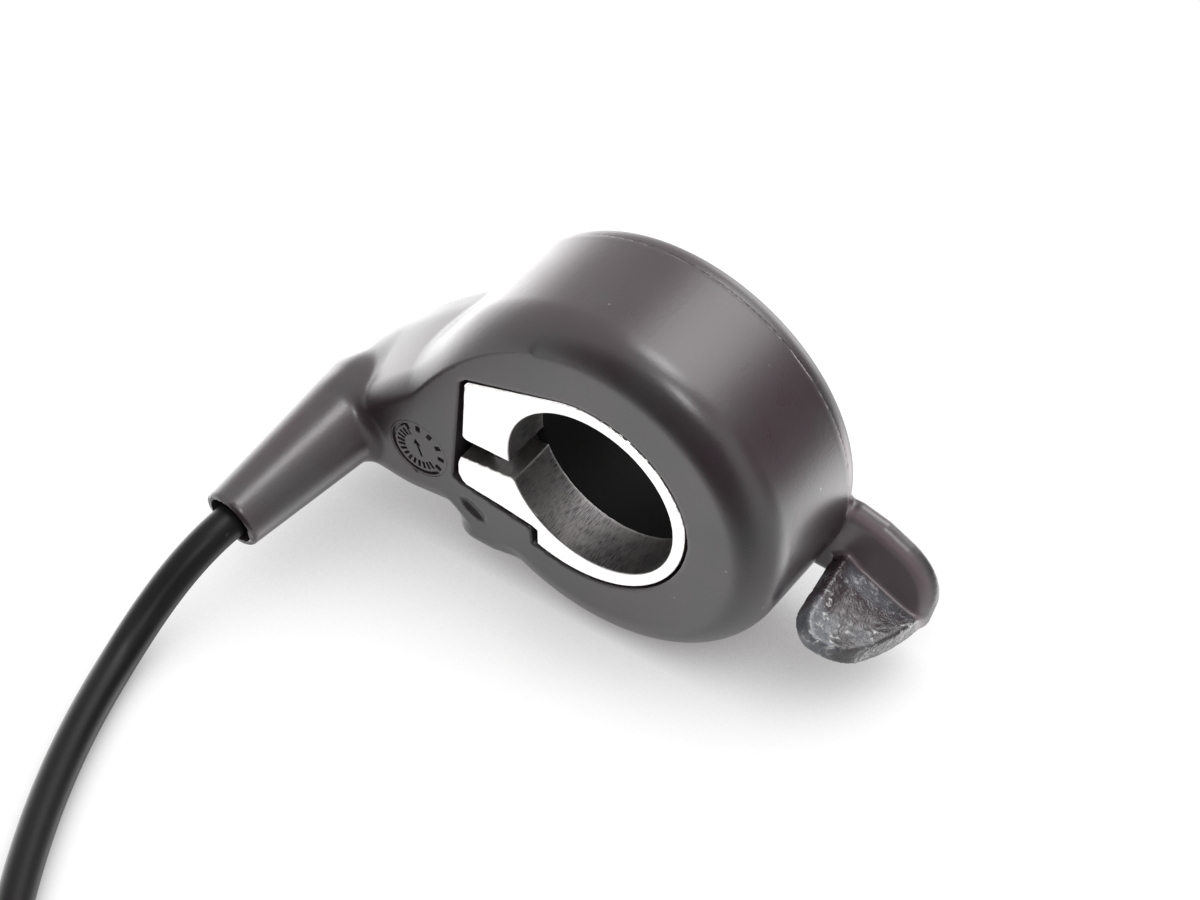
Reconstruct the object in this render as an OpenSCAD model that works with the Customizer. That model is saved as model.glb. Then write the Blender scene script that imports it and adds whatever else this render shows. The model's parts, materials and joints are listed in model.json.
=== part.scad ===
// Thumb throttle for an electric bicycle, clamped round a 22.2 mm handlebar.
// Frame: Y runs along the handlebar from the clamp face towards the lever, +X points
// to the lever, +Z is up, and the origin is the bore's centre on the clamp face.

/* [Handlebar clamp] */
// Diameter of the handlebar bore
bar_d = 22.2; // [22.2:0.1:22.4]
// Depth of the clamp along the handlebar
clamp_depth = 6.6; // [6.2:0.1:7]
// Wall of the clamp ring
clamp_wall = 1.84; // [1.7:0.02:1.9]
// Distance from the bore's centre to the end of the upper ear
ear_reach = 17.2; // [17:0.1:17.6]
// Height of the open split between the two ears, at the outer end
split_gap = 3.3; // [3:0.1:3.5]
// Thread diameter of the clamp screw
screw_d = 3; // [2.9:0.1:3]
// Distance of the clamp screw from the bore's centre
screw_x = -14.4; // [-14.5:0.1:-14.3]

/* [Drum housing] */
// Outer radius of the drum
drum_r = 23.3; // [23.2:0.1:24]
// Depth of the drum along the handlebar
drum_depth = 16.65; // [16.6:0.05:17]
// Radius of the flat land on the drum's front face
land_r = 18.8; // [18.6:0.1:19.5]
// How far along the handlebar the front shoulder is rounded
shoulder_depth = 5; // [4:0.1:6]
// Wall of the drum round the spring chamber
drum_wall = 1.8; // [1.6:0.1:2]
// Thickness of the partition behind the clamp pocket
partition = 1.7; // [1.5:0.1:1.9]
// Outer radius of the journal tube that the lever turns on
journal_r = 13.2; // [13.1:0.05:13.3]
// Wall of the journal tube
journal_wall = 1.6; // [1.5:0.1:1.7]

/* [Cable neck] */
// Depth of the neck along the handlebar
neck_depth = 12.6; // [12.4:0.1:13]
// Radius of the rounded end of the neck
neck_end_r = 6; // [5.8:0.1:6.2]
// Length of the tapered cable nozzle
nozzle_length = 21.7; // [20:0.1:22]
// Radius of the nozzle at its tip
nozzle_tip_r = 3.8; // [3.6:0.1:4]
// Radius of the nozzle at its root
nozzle_root_r = 5.5; // [5.2:0.1:5.6]

/* [Thumb lever] */
// Angle of the thumb pad below +X when the lever is released
lever_rest_angle = 25.5; // [20:0.5:30]
// Travel of the lever from released to fully pressed
lever_travel = 60; // [55:1:60]
// Radius of the lever's disc
disc_r = 22.9; // [22.5:0.1:23]
// Thickness of the lever's disc
disc_thickness = 2.8; // [2.6:0.1:3]
// Thickness of the lever's arm
arm_thickness = 2.3; // [2.2:0.1:2.5]
// Gap between the drum's rim and the lever's disc
disc_gap = 0.25; // [0.2:0.05:0.3]
// Radial running clearance of the lever on the journal
run_gap = 0.05; // [0.03:0.01:0.08]
// Thickness of the thumb pad
pad_thickness = 2.2; // [2:0.1:2.4]

/* [Return spring] */
// Wire diameter of the torsion spring
wire_d = 1; // [0.9:0.1:1]
// Full turns of the torsion spring
spring_turns = 2; // [1:1:2]

/* [Cable] */
// Outside diameter of the cable jacket
cable_d = 4.2; // [4:0.1:4.2]
// Diameter of each insulated wire
core_d = 1.2; // [1:0.1:1.2]

/* [Hidden] */
$fn = 96;
eps = 0.01;            // overlap that keeps unions and cuts clean
fit = 0.1;             // gap between moulded pieces that seat on each other

bore_r = bar_d / 2;
clamp_r = bore_r + clamp_wall;
journal_bore_r = journal_r - journal_wall;
chamber_y = clamp_depth + partition;
chamber_r = drum_r - drum_wall;
disc_y = drum_depth + disc_gap;
disc_back = disc_y + disc_thickness;

// places along a radius in the X-Z plane, from an angle up from +X
function polar(r, a) = [r * cos(a), r * sin(a)];
function arc(c, r, a0, a1, n) = [for (i = [0 : n]) c + polar(r, a0 + (a1 - a0) * i / n)];
function unit(v) = v / norm(v);
function bezier(p, t) = pow(1 - t, 3) * p[0] + 3 * pow(1 - t, 2) * t * p[1]
                      + 3 * (1 - t) * t * t * p[2] + pow(t, 3) * p[3];
function run(p, n) = [for (i = [1 : n]) bezier(p, i / n)];

// draws an X-Z outline as a slab between two places along Y
module slab(y0, y1) {
    translate([0, y1, 0]) rotate([90, 0, 0]) linear_extrude(y1 - y0) children();
}

// turns a Z axis into the Y axis, starting at y0
module along_y(y0) {
    translate([0, y0, 0]) rotate([-90, 0, 0]) children();
}

// cylinder about the handlebar's axis
module disc(r, y0, y1) {
    along_y(y0) cylinder(r = r, h = y1 - y0);
}

// tube about the handlebar's axis
module tube(r_in, r_out, y0, y1) {
    difference() {
        disc(r_out, y0, y1);
        disc(r_in, y0 - eps, y1 + eps);
    }
}

// part of a tube between two angles up from +X
module tube_sector(r_in, r_out, y0, y1, a0, a1) {
    reach = 2 * r_out;
    intersection() {
        tube(r_in, r_out, y0, y1);
        slab(y0 - eps, y1 + eps)
            polygon(concat([[0, 0]], [for (i = [0 : 4]) polar(reach, a0 + (a1 - a0) * i / 4)]));
    }
}

// round bar from one point to another
module rod(from, to, r0, r1) {
    v = to - from;
    translate(from)
        rotate([0, acos(v.z / norm(v)), atan2(v.y, v.x)])
            cylinder(r1 = r0, r2 = r1, h = norm(v));
}

// screw with a cylinder head, pointing up from its seat at the origin
module socket_screw(d, shank, head_d, head_h, key) {
    difference() {
        union() {
            translate([0, 0, -head_h]) cylinder(d = head_d, h = head_h);
            translate([0, 0, -eps]) cylinder(d = d, h = shank);
        }
        translate([0, 0, -head_h - eps]) cylinder(d = key, h = head_h * 0.6, $fn = 6);
    }
}

// tube or solid rod swept along a list of points, in rings of n sides
function tangent(path, i) =
    unit(path[min(i + 1, len(path) - 1)] - path[max(i - 1, 0)]);
function side_of(path, i, up) = unit(cross(tangent(path, i), up));
function ring_at(path, i, r, n, up, shift) =
    let (s = side_of(path, i, up), u = cross(s, tangent(path, i)))
    [for (k = [0 : n - 1])
        path[i] + shift.x * s + shift.y * u
        + r * (cos(360 * k / n) * s + sin(360 * k / n) * u)];
module sweep(path, r, n, up, shift = [0, 0]) {
    rings = len(path);
    points = [for (i = [0 : rings - 1]) each ring_at(path, i, r, n, up, shift)];
    walls = [for (i = [0 : rings - 2], k = [0 : n - 1])
        let (a = i * n + k, b = i * n + (k + 1) % n)
        each [[a, b, b + n], [a, b + n, a + n]]];
    polyhedron(points, concat(
        [[for (k = [0 : n - 1]) n - 1 - k]], walls,
        [[for (k = [0 : n - 1]) (rings - 1) * n + k]]), convexity = 6);
}

// ---- cable neck and cable path ----
neck_end = [-35.2, -10.6];
nozzle_dir = unit([-0.143, -0.986, -0.092]);
nozzle_tip = [-37.9, -17.4, -13];
nozzle_root = nozzle_tip - nozzle_length * nozzle_dir;
bench_z = -drum_r;                        // the flat face that the drum and cable rest on
cable_z = bench_z + cable_d / 2;
cable_start = nozzle_root - 1.5 * nozzle_dir;
cable_bend = [-39, -39.3, cable_z];       // where the hanging cable reaches the bench
bend_dir = unit([0.255, -0.967, 0]);
cable_far = [-25.2, -71.1, cable_z];
far_dir = unit([0.517, -0.856, 0]);
plug_dir = unit([0.506, -0.862, 0]);
plug_r = 4.6;                             // largest radius of the cable plug
plug_back = [-19.2, -81.3, bench_z + plug_r];
plug_length = 19;
cable_path = concat(
    [cable_start, nozzle_root, nozzle_root + 9 * nozzle_dir, nozzle_tip],
    run([nozzle_tip, nozzle_tip + 8 * nozzle_dir, cable_bend - 10 * bend_dir, cable_bend], 14),
    run([cable_bend, cable_bend + 11.8 * bend_dir, cable_far - 11.8 * far_dir, cable_far], 14),
    run([cable_far, cable_far + 4.5 * far_dir, plug_back - 4.5 * plug_dir, plug_back], 8),
    [plug_back + 4 * plug_dir]);
jacket_r = cable_d / 2;
jacket_bore_r = 1.45;
core_ring = 0.75;                         // distance of each wire from the cable's centre

// outline of the neck: drop lowers its top edge, and r is the radius of its rounded end
function neck_outline(drop, r) = concat(
    [[-12, 17 - drop], [-19.5, 12 - drop], [-25, 7 - drop], [-32.5, 0 - drop]],
    arc(neck_end, r, 125, 270, 10),
    [[-28, neck_end.y - r + 0.2], [-21.5, -15.4], [-12, -17]]);
cavity_wall = 2;
cavity_front = 2;
cavity_back = neck_depth - 1.6;
seat_wall = 1;                            // wall left round the seat of the neck cover

// outline of the neck's inside, a given wall in from its outside; drop lowers its top edge
module neck_inside(wall, drop = 0) {
    top = -wall - drop;
    polygon(concat([[-21, 7.6 + top], [-24.5, 6.6 + top], [-31.5, 0.2 + top]],
        arc(neck_end, neck_end_r - wall, 125, 270, 8), [[-28, wall - 16.4], [-21, wall - 15.4]]));
}

// ---- hall sensor, seen by magnets that pass at the same angle ----
sensor_angle = 190;
sensor_size = [1.5, 3, 4.1];
sensor_r = chamber_r + 0.8;
sensor_y = 8;
carrier_half = 31;
carrier_angle = sensor_angle + lever_travel / 2;
magnet_offset = 21;
magnet_size = [2, 4, 5];
magnet_y = 10;

// puts children at a radius and an angle, with X along the radius
module at_angle(r, a, y) {
    rotate([0, -a, 0]) translate([r, y, 0]) children();
}

// ---- clamp ----
screw_y = clamp_depth / 2 + 0.2;
screw_seat_z = -8.2;
screw_head_d = 5.5;
screw_head_h = 3;
clamp_low = [-2.2, 1.1];                  // centre of the wider arc round the ring's lower half
clamp_low_r = clamp_r + 1.99;
heel_x = -7.35;                           // the ring steps down to the lower ear here

// outline of the clamp's ring, cut off below the lower ear at a place along X
module ring_outline(grow, low_grow, end_x) {
    difference() {
        intersection() {
            translate(clamp_low) circle(r = clamp_low_r + low_grow);
            union() {
                circle(r = clamp_r + grow);
                translate([-20, -20]) square([40, 20]);
            }
        }
        polygon([[end_x, -20], [end_x, -10.4], [-20, -8.6], [-20, -20]]);
    }
}

module clamp_outline() {
    ring_outline(0, 0, heel_x);
    polygon([[-4.4, 12.17], [-ear_reach + 0.9, 7.75], [-ear_reach + 0.35, 7.1],
             [-ear_reach - 0.35, -1.4], [-ear_reach + 0.1, -1.75], [-2, -1.2]]);
    polygon([[-2, -3], [-ear_reach - 0.7, -1.75 - split_gap], [-ear_reach - 1.15, -6.5],
             [-ear_reach - 1.15, -8], [-ear_reach - 0.6, -9], [-ear_reach, -9.4],
             [-12.6, -9.8], [-8.1, -10.4], [heel_x + 0.3, -10.8], [-5, -10.9]]);
}

module pocket_outline() {
    ring_outline(fit, 0.4, heel_x - 0.95);
    polygon([[-4.4, 12.3], [-ear_reach + 0.4, 8.05], [-ear_reach - 0.4, 7.2],
             [-ear_reach - 2, -9], [-ear_reach - 1, -9.5], [-12.6, -10.4],
             [heel_x - 0.95, -10.95], [heel_x - 0.75, -13.4], [0, -13.9], [0, 0]]);
}

module split_outline() {
    polygon([[-2, -1.2], [-ear_reach - 2, -1.75], [-ear_reach - 2, -1.9 - split_gap],
             [-2, -3]]);
}

module bar_clamp() {
    color("silver") difference() {
        slab(0, clamp_depth) clamp_outline();
        slab(-eps, clamp_depth + eps) split_outline();
        disc(bore_r, -eps, clamp_depth + eps);
        translate([screw_x, screw_y, screw_seat_z - 3]) cylinder(d = screw_head_d + 0.3, h = 3);
        translate([screw_x, screw_y, screw_seat_z - eps]) cylinder(d = screw_d + 0.3, h = 6);
        translate([screw_x, screw_y, -3]) cylinder(d = screw_d + 0.02, h = 9);
    }
}

module clamp_screw() {
    color("dimgray") translate([screw_x, screw_y, screw_seat_z])
        socket_screw(screw_d, 13.6, screw_head_d, screw_head_h, 2.5);
}

// ---- housing ----
module drum_outside() {
    along_y(0) rotate_extrude() polygon(concat(
        [[0, 0]],
        [for (i = [0 : 8]) [land_r + (drum_r - land_r) * sin(90 * i / 8),
                            shoulder_depth * (1 - cos(90 * i / 8))]],
        [[drum_r, drum_depth - 0.3], [drum_r - 0.3, drum_depth], [0, drum_depth]]));
}

module neck_outside() {
    hull() {
        slab(0, 0.2) polygon(neck_outline(6.5, neck_end_r - 1));
        slab(2, 2.2) polygon(neck_outline(3.5, neck_end_r));
        slab(9, neck_depth - 1.5) polygon(neck_outline(0, neck_end_r));
        slab(neck_depth - 0.2, neck_depth) polygon(neck_outline(1.4, neck_end_r - 0.6));
    }
    rod(nozzle_root, nozzle_tip, nozzle_root_r, nozzle_tip_r);
    slab(1, neck_depth - 1) translate(neck_end) circle(r = neck_end_r - 0.1);
}

// keeps only what lies further out than the drum's wall
module outside_drum(gap) {
    difference() {
        children();
        disc(drum_r + gap, -1, neck_depth + 2);
    }
}

// the neck's hollow, whose roof falls towards the front as the neck's top does
module cavity(wall) {
    hull() {
        slab(cavity_front, cavity_front + 0.1) neck_inside(wall + 0.1, 3.4);
        slab(9, neck_depth + 1) neck_inside(wall);
    }
}

// the cable's way through the nozzle
module cable_way(end) {
    rod(nozzle_root - 6 * nozzle_dir, end, jacket_r + fit, jacket_r + fit);
}

// bulge low on the drum that covers the clamp screw's way in
boss_r = 3.9;
boss_z = [-12, -19.2];                    // where the bulge starts inside the drum, and its end
module screw_boss() {
    translate([screw_x, screw_y + 0.4, boss_z[1]]) cylinder(r = boss_r, h = boss_z[0] - boss_z[1]);
}

stop_width = 5;
stop_gap = 0.6;
module stop_ribs() {
    low = carrier_angle + carrier_half + stop_gap;
    high = carrier_angle - lever_travel - carrier_half - stop_gap;
    for (a = [low, high - stop_width])
        tube_sector(17.6, chamber_r + 0.5, chamber_y - 0.5, drum_depth - 0.6, a, a + stop_width);
}

cover_screw_places = [[-26.2, -12.1], [-32.4, -4.6]];
post_starts = [cavity_front - 0.5, 5];    // each post starts inside the neck's front wall
cover_screw_d = 1.88;
cover_screw_length = 5;
post_r = 1.8;
post_hole_r = 0.95;

// puts children at each of the cover's screws, with Z along the handlebar from y
module at_cover_screws(y) {
    for (p = cover_screw_places)
        translate([p.x, y, p.y]) rotate([-90, 0, 0]) children();
}

module cover_posts() {
    difference() {
        for (k = [0, 1])
            translate([cover_screw_places[k].x, post_starts[k], cover_screw_places[k].y])
                rotate([-90, 0, 0]) cylinder(r = post_r, h = cavity_back - post_starts[k]);
        at_cover_screws(cavity_back - cover_screw_length - 0.5)
            cylinder(r = post_hole_r, h = cover_screw_length + 1);
    }
}

mouth_r = 2.4;                            // opening at the nozzle's tip, before its flare
mouth_depth = 2;
module housing() {
    color([0.16, 0.15, 0.16]) {
        difference() {
            union() {
                drum_outside();
                neck_outside();
                screw_boss();
            }
            slab(-eps, clamp_depth) pocket_outline();
            disc(journal_r - 0.5, -1, drum_depth + 1);
            disc(chamber_r, chamber_y, drum_depth + 1);
            outside_drum(0.9) cavity(cavity_wall);
            outside_drum(0.2) slab(cavity_back, neck_depth + 1) neck_inside(seat_wall);
            at_angle(sensor_r - fit, sensor_angle, lead_y - 0.6)
                translate([0, 0, -sensor_size.z / 2 - fit])
                    cube([6, sensor_y + sensor_size.y - lead_y + 0.7, sensor_size.z + 2 * fit]);
            cable_way(nozzle_tip + nozzle_dir);
            rod(nozzle_tip - mouth_depth * nozzle_dir, nozzle_tip + nozzle_dir,
                mouth_r, mouth_r + 0.5);
            translate([screw_x, screw_y, -30]) cylinder(d = screw_head_d + 0.3, h = 24);
            at_angle(spring_r, spring_leg_in, chamber_y - spring_socket) rotate([-90, 0, 0])
                cylinder(d = wire_d + 0.4, h = spring_socket + 1);
        }
        difference() {
            tube(journal_bore_r, journal_r, clamp_depth, journal_end);
            tube(journal_r - 0.7, journal_r + 1, clip_y, clip_y + clip_thickness + 0.1);
        }
        stop_ribs();
        cover_posts();
    }
}

// ---- lever ----
disc_edge = 1.2;                          // the disc's rim is straight for this far, then tapers
hub_r = 17.2;
hub_y = 13;
carrier_r = chamber_r - 0.4;
carrier_y = 9.4;
washer_thickness = 0.5;
clip_thickness = 0.9;
clip_y = disc_back + washer_thickness + 0.1;
journal_end = clip_y + clip_thickness + 0.9;

// arm and pad are drawn with the pad's own radius level, then turned down to the rest angle
arm_start = 18.2;                         // the arm begins inside the disc and outside the hub
pad_top = 1.1;
pad_inner = 25.3;
pad_front = 5.1;
module arm_outline() {
    polygon(concat([[arm_start, 7.6], [20.7, 6.5], [22.9, 7.6], [26.5, 8.35]],
        arc([29.7, 1.2], 7.1, 86, 8, 10), [[37.4, -0.8]],
        arc([34, -1.6], 3.3, 0, -95, 5), [[25, -5.6], [20.5, -7.6], [arm_start, -8.6]]));
}

module pad_outline() {
    polygon(concat([[pad_inner - 0.5, disc_y + 1]],
        arc([pad_inner + 3.1, pad_front + 3.5], 3.1, 180, 265, 5), [[31, pad_front]],
        arc([23.5, 17.2], 14.2, -55, 3, 7)));
}

module thumb_pad() {
    translate([0, 0, pad_top - pad_thickness]) linear_extrude(pad_thickness) pad_outline();
}

module lever() {
    color([0.12, 0.11, 0.12]) difference() {
        union() {
            disc(disc_r, disc_y, disc_y + disc_edge);
            along_y(disc_y + disc_edge)
                cylinder(r1 = disc_r, r2 = disc_r - disc_edge, h = disc_thickness - disc_edge);
            disc(hub_r, hub_y, disc_y + 0.5);
            tube_sector(hub_r - 1, carrier_r, carrier_y, disc_y + 0.5,
                        carrier_angle - carrier_half, carrier_angle + carrier_half);
            rotate([0, lever_rest_angle, 0]) {
                slab(disc_y, disc_y + arm_thickness) arm_outline();
                thumb_pad();
            }
        }
        disc(journal_r + run_gap, 0, disc_back + 1);
        disc(spring_r + wire_d, 0, hub_y);
        for (side = [-1, 1])
            at_angle(carrier_r - magnet_size.x - 0.3, carrier_angle + side * magnet_offset,
                     magnet_y - fit)
                translate([0, 0, -magnet_size.z / 2 - fit])
                    cube(magnet_size + [3, 2 * fit, 2 * fit]);
        at_angle(spring_r, spring_leg_out, hub_y - 1) rotate([-90, 0, 0])
            cylinder(d = wire_d + 0.4, h = spring_socket + 1);
    }
}

module lever_magnets() {
    color("lightgray") for (side = [-1, 1])
        at_angle(carrier_r - magnet_size.x - 0.2, carrier_angle + side * magnet_offset, magnet_y)
            translate([0, 0, -magnet_size.z / 2]) cube(magnet_size);
}

// ---- return spring: a coil round the journal with one leg in each direction ----
spring_r = journal_r + 1.7;
spring_socket = 2;                        // depth of the hole that holds each leg
spring_leg_in = 60;                       // angle of the leg held by the housing
spring_leg_out = spring_leg_in + 20;      // angle of the leg held by the lever
spring_low = chamber_y + 1.1;
spring_high = hub_y - 1.1;
corner = 4;                               // degrees of coil taken by each rounded corner
coil_angle = 360 * spring_turns + spring_leg_out - spring_leg_in - 2 * corner;
coil_steps = 24 * spring_turns;
function on_coil(a, y) = [spring_r * cos(a), y, spring_r * sin(a)];
function coil_point(t) = on_coil(spring_leg_in + corner + coil_angle * t,
    spring_low + t * (spring_high - spring_low));
// a corner turns a quarter circle between the axial leg and the coil
function corner_point(leg, turn, y, t) =
    on_coil(leg + turn * corner * (1 - cos(t)), y + (1 - sin(t)) * (y < spring_high ? -1 : 1));
spring_path = concat(
    [on_coil(spring_leg_in, chamber_y - spring_socket + 0.4)],
    [for (t = [0 : 22.5 : 67.5]) corner_point(spring_leg_in, 1, spring_low, t)],
    [for (i = [0 : coil_steps]) coil_point(i / coil_steps)],
    [for (t = [67.5 : -22.5 : 0]) corner_point(spring_leg_out, -1, spring_high, t)],
    [on_coil(spring_leg_out, hub_y + spring_socket - 0.4)]);
module return_spring() {
    color("gray") sweep(spring_path, wire_d / 2, 10, unit([0.31, 0.2, 0.93]));
}

module thrust_washer() {
    color("ivory") tube(journal_r + 0.15, journal_r + 4, disc_back, disc_back + washer_thickness);
}

// external ring with a gap and two ears with holes for pliers
module retaining_clip() {
    color("slategray") difference() {
        union() {
            tube(journal_r - 0.6, journal_r + 1.4, clip_y + 0.05, clip_y + clip_thickness);
            for (a = [78, 102])
                slab(clip_y + 0.05, clip_y + clip_thickness)
                    translate(polar(journal_r + 1.9, a)) circle(r = 1.9);
        }
        disc(journal_r - 0.6, clip_y - 1, clip_y + 2);
        slab(clip_y - eps, clip_y + 2)
            polygon([[0, 0], polar(25, 84), polar(25, 96)]);
        for (a = [78, 102])
            slab(clip_y - eps, clip_y + 2) translate(polar(journal_r + 2.1, a)) circle(r = 0.8);
    }
}

// ---- neck cover ----
cover_head_d = 3.8;
cover_head_h = 0.8;
cover_key = 1.5;
module neck_cover() {
    color([0.14, 0.13, 0.14]) difference() {
        outside_drum(0.3) slab(cavity_back, neck_depth) neck_inside(seat_wall + fit);
        at_cover_screws(cavity_back - 1) cylinder(r = 1.2, h = neck_depth);
        at_cover_screws(neck_depth - cover_head_h) cylinder(d = cover_head_d + 0.2, h = 2);
    }
}

module neck_cover_screws() {
    color("gray") at_cover_screws(neck_depth - cover_head_h) mirror([0, 0, 1])
        socket_screw(cover_screw_d, cover_screw_length, cover_head_d, cover_head_h, cover_key);
}

// ---- sensor assembly, drawn along the sensor's own radius ----
lead_pitch = 1.27;
lead_w = 0.4;
lead_y = 7;                               // where the leads turn towards the board
board_r = 25;
board_y = 5;
board_size = [4.6, 1, 6.8];
board_low_z = -2.6;
pad_r = 26.2;                             // radius of the board's holes for the leads
wire_pad_r = 28.5;
wire_pads = [-0.2, 1.45, 3.1];           // places of the three wires across the board

module sensor_board() {
    color("darkgreen") at_angle(board_r, sensor_angle, board_y) difference() {
        translate([0, 0, board_low_z]) cube(board_size);
        for (k = [-1 : 1])
            translate([pad_r - board_r, -1, k * lead_pitch]) rotate([-90, 0, 0])
                cylinder(r = 0.45, h = 3);
    }
}

module filter_capacitor() {
    color("tan") at_angle(board_r + 0.4, sensor_angle, board_y + board_size.y)
        translate([0, 0, 2.4]) cube([2, 0.8, 1.2]);
}

module hall_sensor() {
    color([0.1, 0.1, 0.1]) at_angle(sensor_r, sensor_angle, sensor_y)
        translate([0, 0, -sensor_size.z / 2]) difference() {
            cube(sensor_size);
            for (z = [0, sensor_size.z])
                translate([sensor_size.x, -1, z]) rotate([0, 45, 0])
                    translate([-0.35, 0, -0.35]) cube([0.7, sensor_size.y + 2, 0.7]);
        }
}

// each lead leaves the sensor's front edge, turns towards the board and then into its hole
module sensor_leads() {
    exit_r = sensor_r + sensor_size.x / 2;
    color("silver") at_angle(0, sensor_angle, 0) for (k = [-1 : 1])
        translate([-lead_w / 2, 0, k * lead_pitch - lead_w / 2]) {
            translate([exit_r, lead_y - lead_w, 0])
                cube([lead_w, sensor_y - lead_y + lead_w, lead_w]);
            translate([exit_r, lead_y - lead_w, 0]) cube([pad_r - exit_r + lead_w, lead_w, lead_w]);
            translate([pad_r, board_y - 0.5, 0])
                cube([lead_w, lead_y - board_y + 0.5, lead_w]);
        }
}

potting_top = 3.4;
module potting_compound() {
    color([0.2, 0.2, 0.22]) difference() {
        intersection() {
            outside_drum(0.95) cavity(cavity_wall + 0.05);
            slab(cavity_front, potting_top) translate([-50, -30]) square(50);
        }
        at_cover_screws(0) cylinder(r = post_r + 0.05, h = neck_depth);
        cable_way(nozzle_tip);
    }
}

// ---- cable ----
cable_up = unit([0.3, -0.1, 0.95]);
// insulated wire from its place on the board, through the jacket, into the plug
module core(angle, pad_z, tint) {
    pad = [wire_pad_r * cos(sensor_angle) - pad_z * sin(sensor_angle),
           board_y + board_size.y + eps,
           wire_pad_r * sin(sensor_angle) + pad_z * cos(sensor_angle)];
    rise = pad + [0, 0.9, 0];
    entry = cable_start - 1.2 * nozzle_dir;
    inside = [for (t = [0 : 0.2 : 0.8])
        bezier([rise, rise + [0, 1.1, -1], entry - 2.2 * nozzle_dir, entry], t)];
    path = concat([pad], inside, [entry], cable_path, [plug_back + 8 * plug_dir]);
    color(tint) sweep(path, core_d / 2, 8, cable_up, core_ring * [cos(angle), sin(angle)]);
}
module wire_red() { core(90, wire_pads[0], "red"); }
module wire_black() { core(210, wire_pads[1], "black"); }
module wire_green() { core(330, wire_pads[2], "green"); }

module cable_jacket() {
    color([0.13, 0.12, 0.13]) difference() {
        sweep(cable_path, jacket_r, 20, cable_up);
        sweep(concat([cable_start - nozzle_dir], cable_path, [plug_back + 5 * plug_dir]),
            jacket_bore_r, 12, cable_up);
    }
}

// strap round the jacket, with its square head on the side of the board
tie_wall = 0.8;
tie_width = 1.2;
tie_head = [2, 1.3, 2.2];
module cable_tie() {
    tie = cable_start + 0.2 * nozzle_dir;
    way = 3 * nozzle_dir;
    color("white") difference() {
        union() {
            rod(tie, tie + tie_width * nozzle_dir, jacket_r + tie_wall, jacket_r + tie_wall);
            translate(tie + [jacket_r, -tie_head.y - 0.05, -tie_head.z / 2]) cube(tie_head);
        }
        rod(tie - way, tie + way, jacket_r + 0.05, jacket_r + 0.05);
    }
}

// ---- cable plug, drawn with Z pointing out of its mouth ----
boot_length = 8;                          // tapered boot that grips the jacket
boot_r = [2.9, 3.9];
boot_rib_w = 0.8;
boot_rib_pitch = 1.7;
grip_depth = 4;                           // how deep the jacket sits in the boot
socket_z = 8.5;                           // bottom of the socket that holds the insert
socket_r = 3.05;
insert_length = 5;
insert_r = 3;
pin_ring = 1.6;                           // distance of each pin from the plug's axis
pin_r = 0.48;
pin_length = 6.6;
pin_z = 9.2;                              // back end of each pin
seal_r = 0.45;
nut_z = 11;
nut_grips = 12;
nut_grip_r = 0.35;

module in_plug() {
    translate(plug_back) rotate([0, 90, atan2(plug_dir.y, plug_dir.x)]) children();
}

module at_pins(z) {
    for (k = [0 : 2]) rotate([0, 0, 120 * k]) translate([pin_ring, 0, z]) children();
}

module connector_shell() {
    color([0.12, 0.12, 0.13]) in_plug() difference() {
        union() {
            cylinder(r1 = boot_r[0], r2 = boot_r[1], h = boot_length);
            translate([0, 0, boot_length]) cylinder(r = boot_r[1], h = plug_length - boot_length);
            for (k = [0 : 3])
                translate([0, 0, 1.2 + boot_rib_pitch * k])
                    cylinder(r = boot_r[0] + 0.6 + 0.12 * k, h = boot_rib_w);
        }
        translate([0, 0, -1]) cylinder(r = jacket_r + 0.03, h = grip_depth + 1.03);
        translate([0, 0, grip_depth - 1]) cylinder(r = 1.6, h = 6);
        translate([0, 0, socket_z]) cylinder(r = socket_r, h = plug_length);
    }
}

module connector_insert() {
    color("gold") in_plug() difference() {
        translate([0, 0, socket_z]) cylinder(r = insert_r, h = insert_length);
        at_pins(socket_z - 0.5) cylinder(r = pin_r + 0.02, h = insert_length + 3);
        translate([0, 0, socket_z - 0.5]) cylinder(r = 0.9, h = 1.2);
    }
}

module connector_pins() {
    color("goldenrod") in_plug() at_pins(pin_z) {
        cylinder(r = pin_r, h = pin_length);
        translate([0, 0, pin_length]) cylinder(r1 = pin_r, r2 = 0.2, h = 0.6);
    }
}

module connector_seal() {
    color([0.3, 0.3, 0.3]) in_plug() translate([0, 0, socket_z + insert_length + seal_r + eps])
        rotate_extrude() translate([insert_r - seal_r, 0]) circle(r = seal_r, $fn = 24);
}

module connector_nut() {
    color([0.2, 0.2, 0.2]) in_plug() difference() {
        union() {
            translate([0, 0, nut_z]) cylinder(r = plug_r - 0.2, h = plug_length - nut_z);
            for (k = [1 : nut_grips]) rotate([0, 0, 360 * k / nut_grips])
                translate([plug_r - nut_grip_r, 0, nut_z + 0.6])
                    cylinder(r = nut_grip_r, h = plug_length - nut_z - 1.2);
        }
        translate([0, 0, nut_z - 1]) cylinder(r = boot_r[1] + 0.05, h = plug_length);
    }
}

housing();
bar_clamp();
clamp_screw();
lever();
lever_magnets();
return_spring();
thrust_washer();
retaining_clip();
neck_cover();
neck_cover_screws();
sensor_board();
filter_capacitor();
hall_sensor();
sensor_leads();
potting_compound();
wire_red();
wire_black();
wire_green();
cable_jacket();
cable_tie();
connector_shell();
connector_insert();
connector_pins();
connector_seal();
connector_nut();
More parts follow.
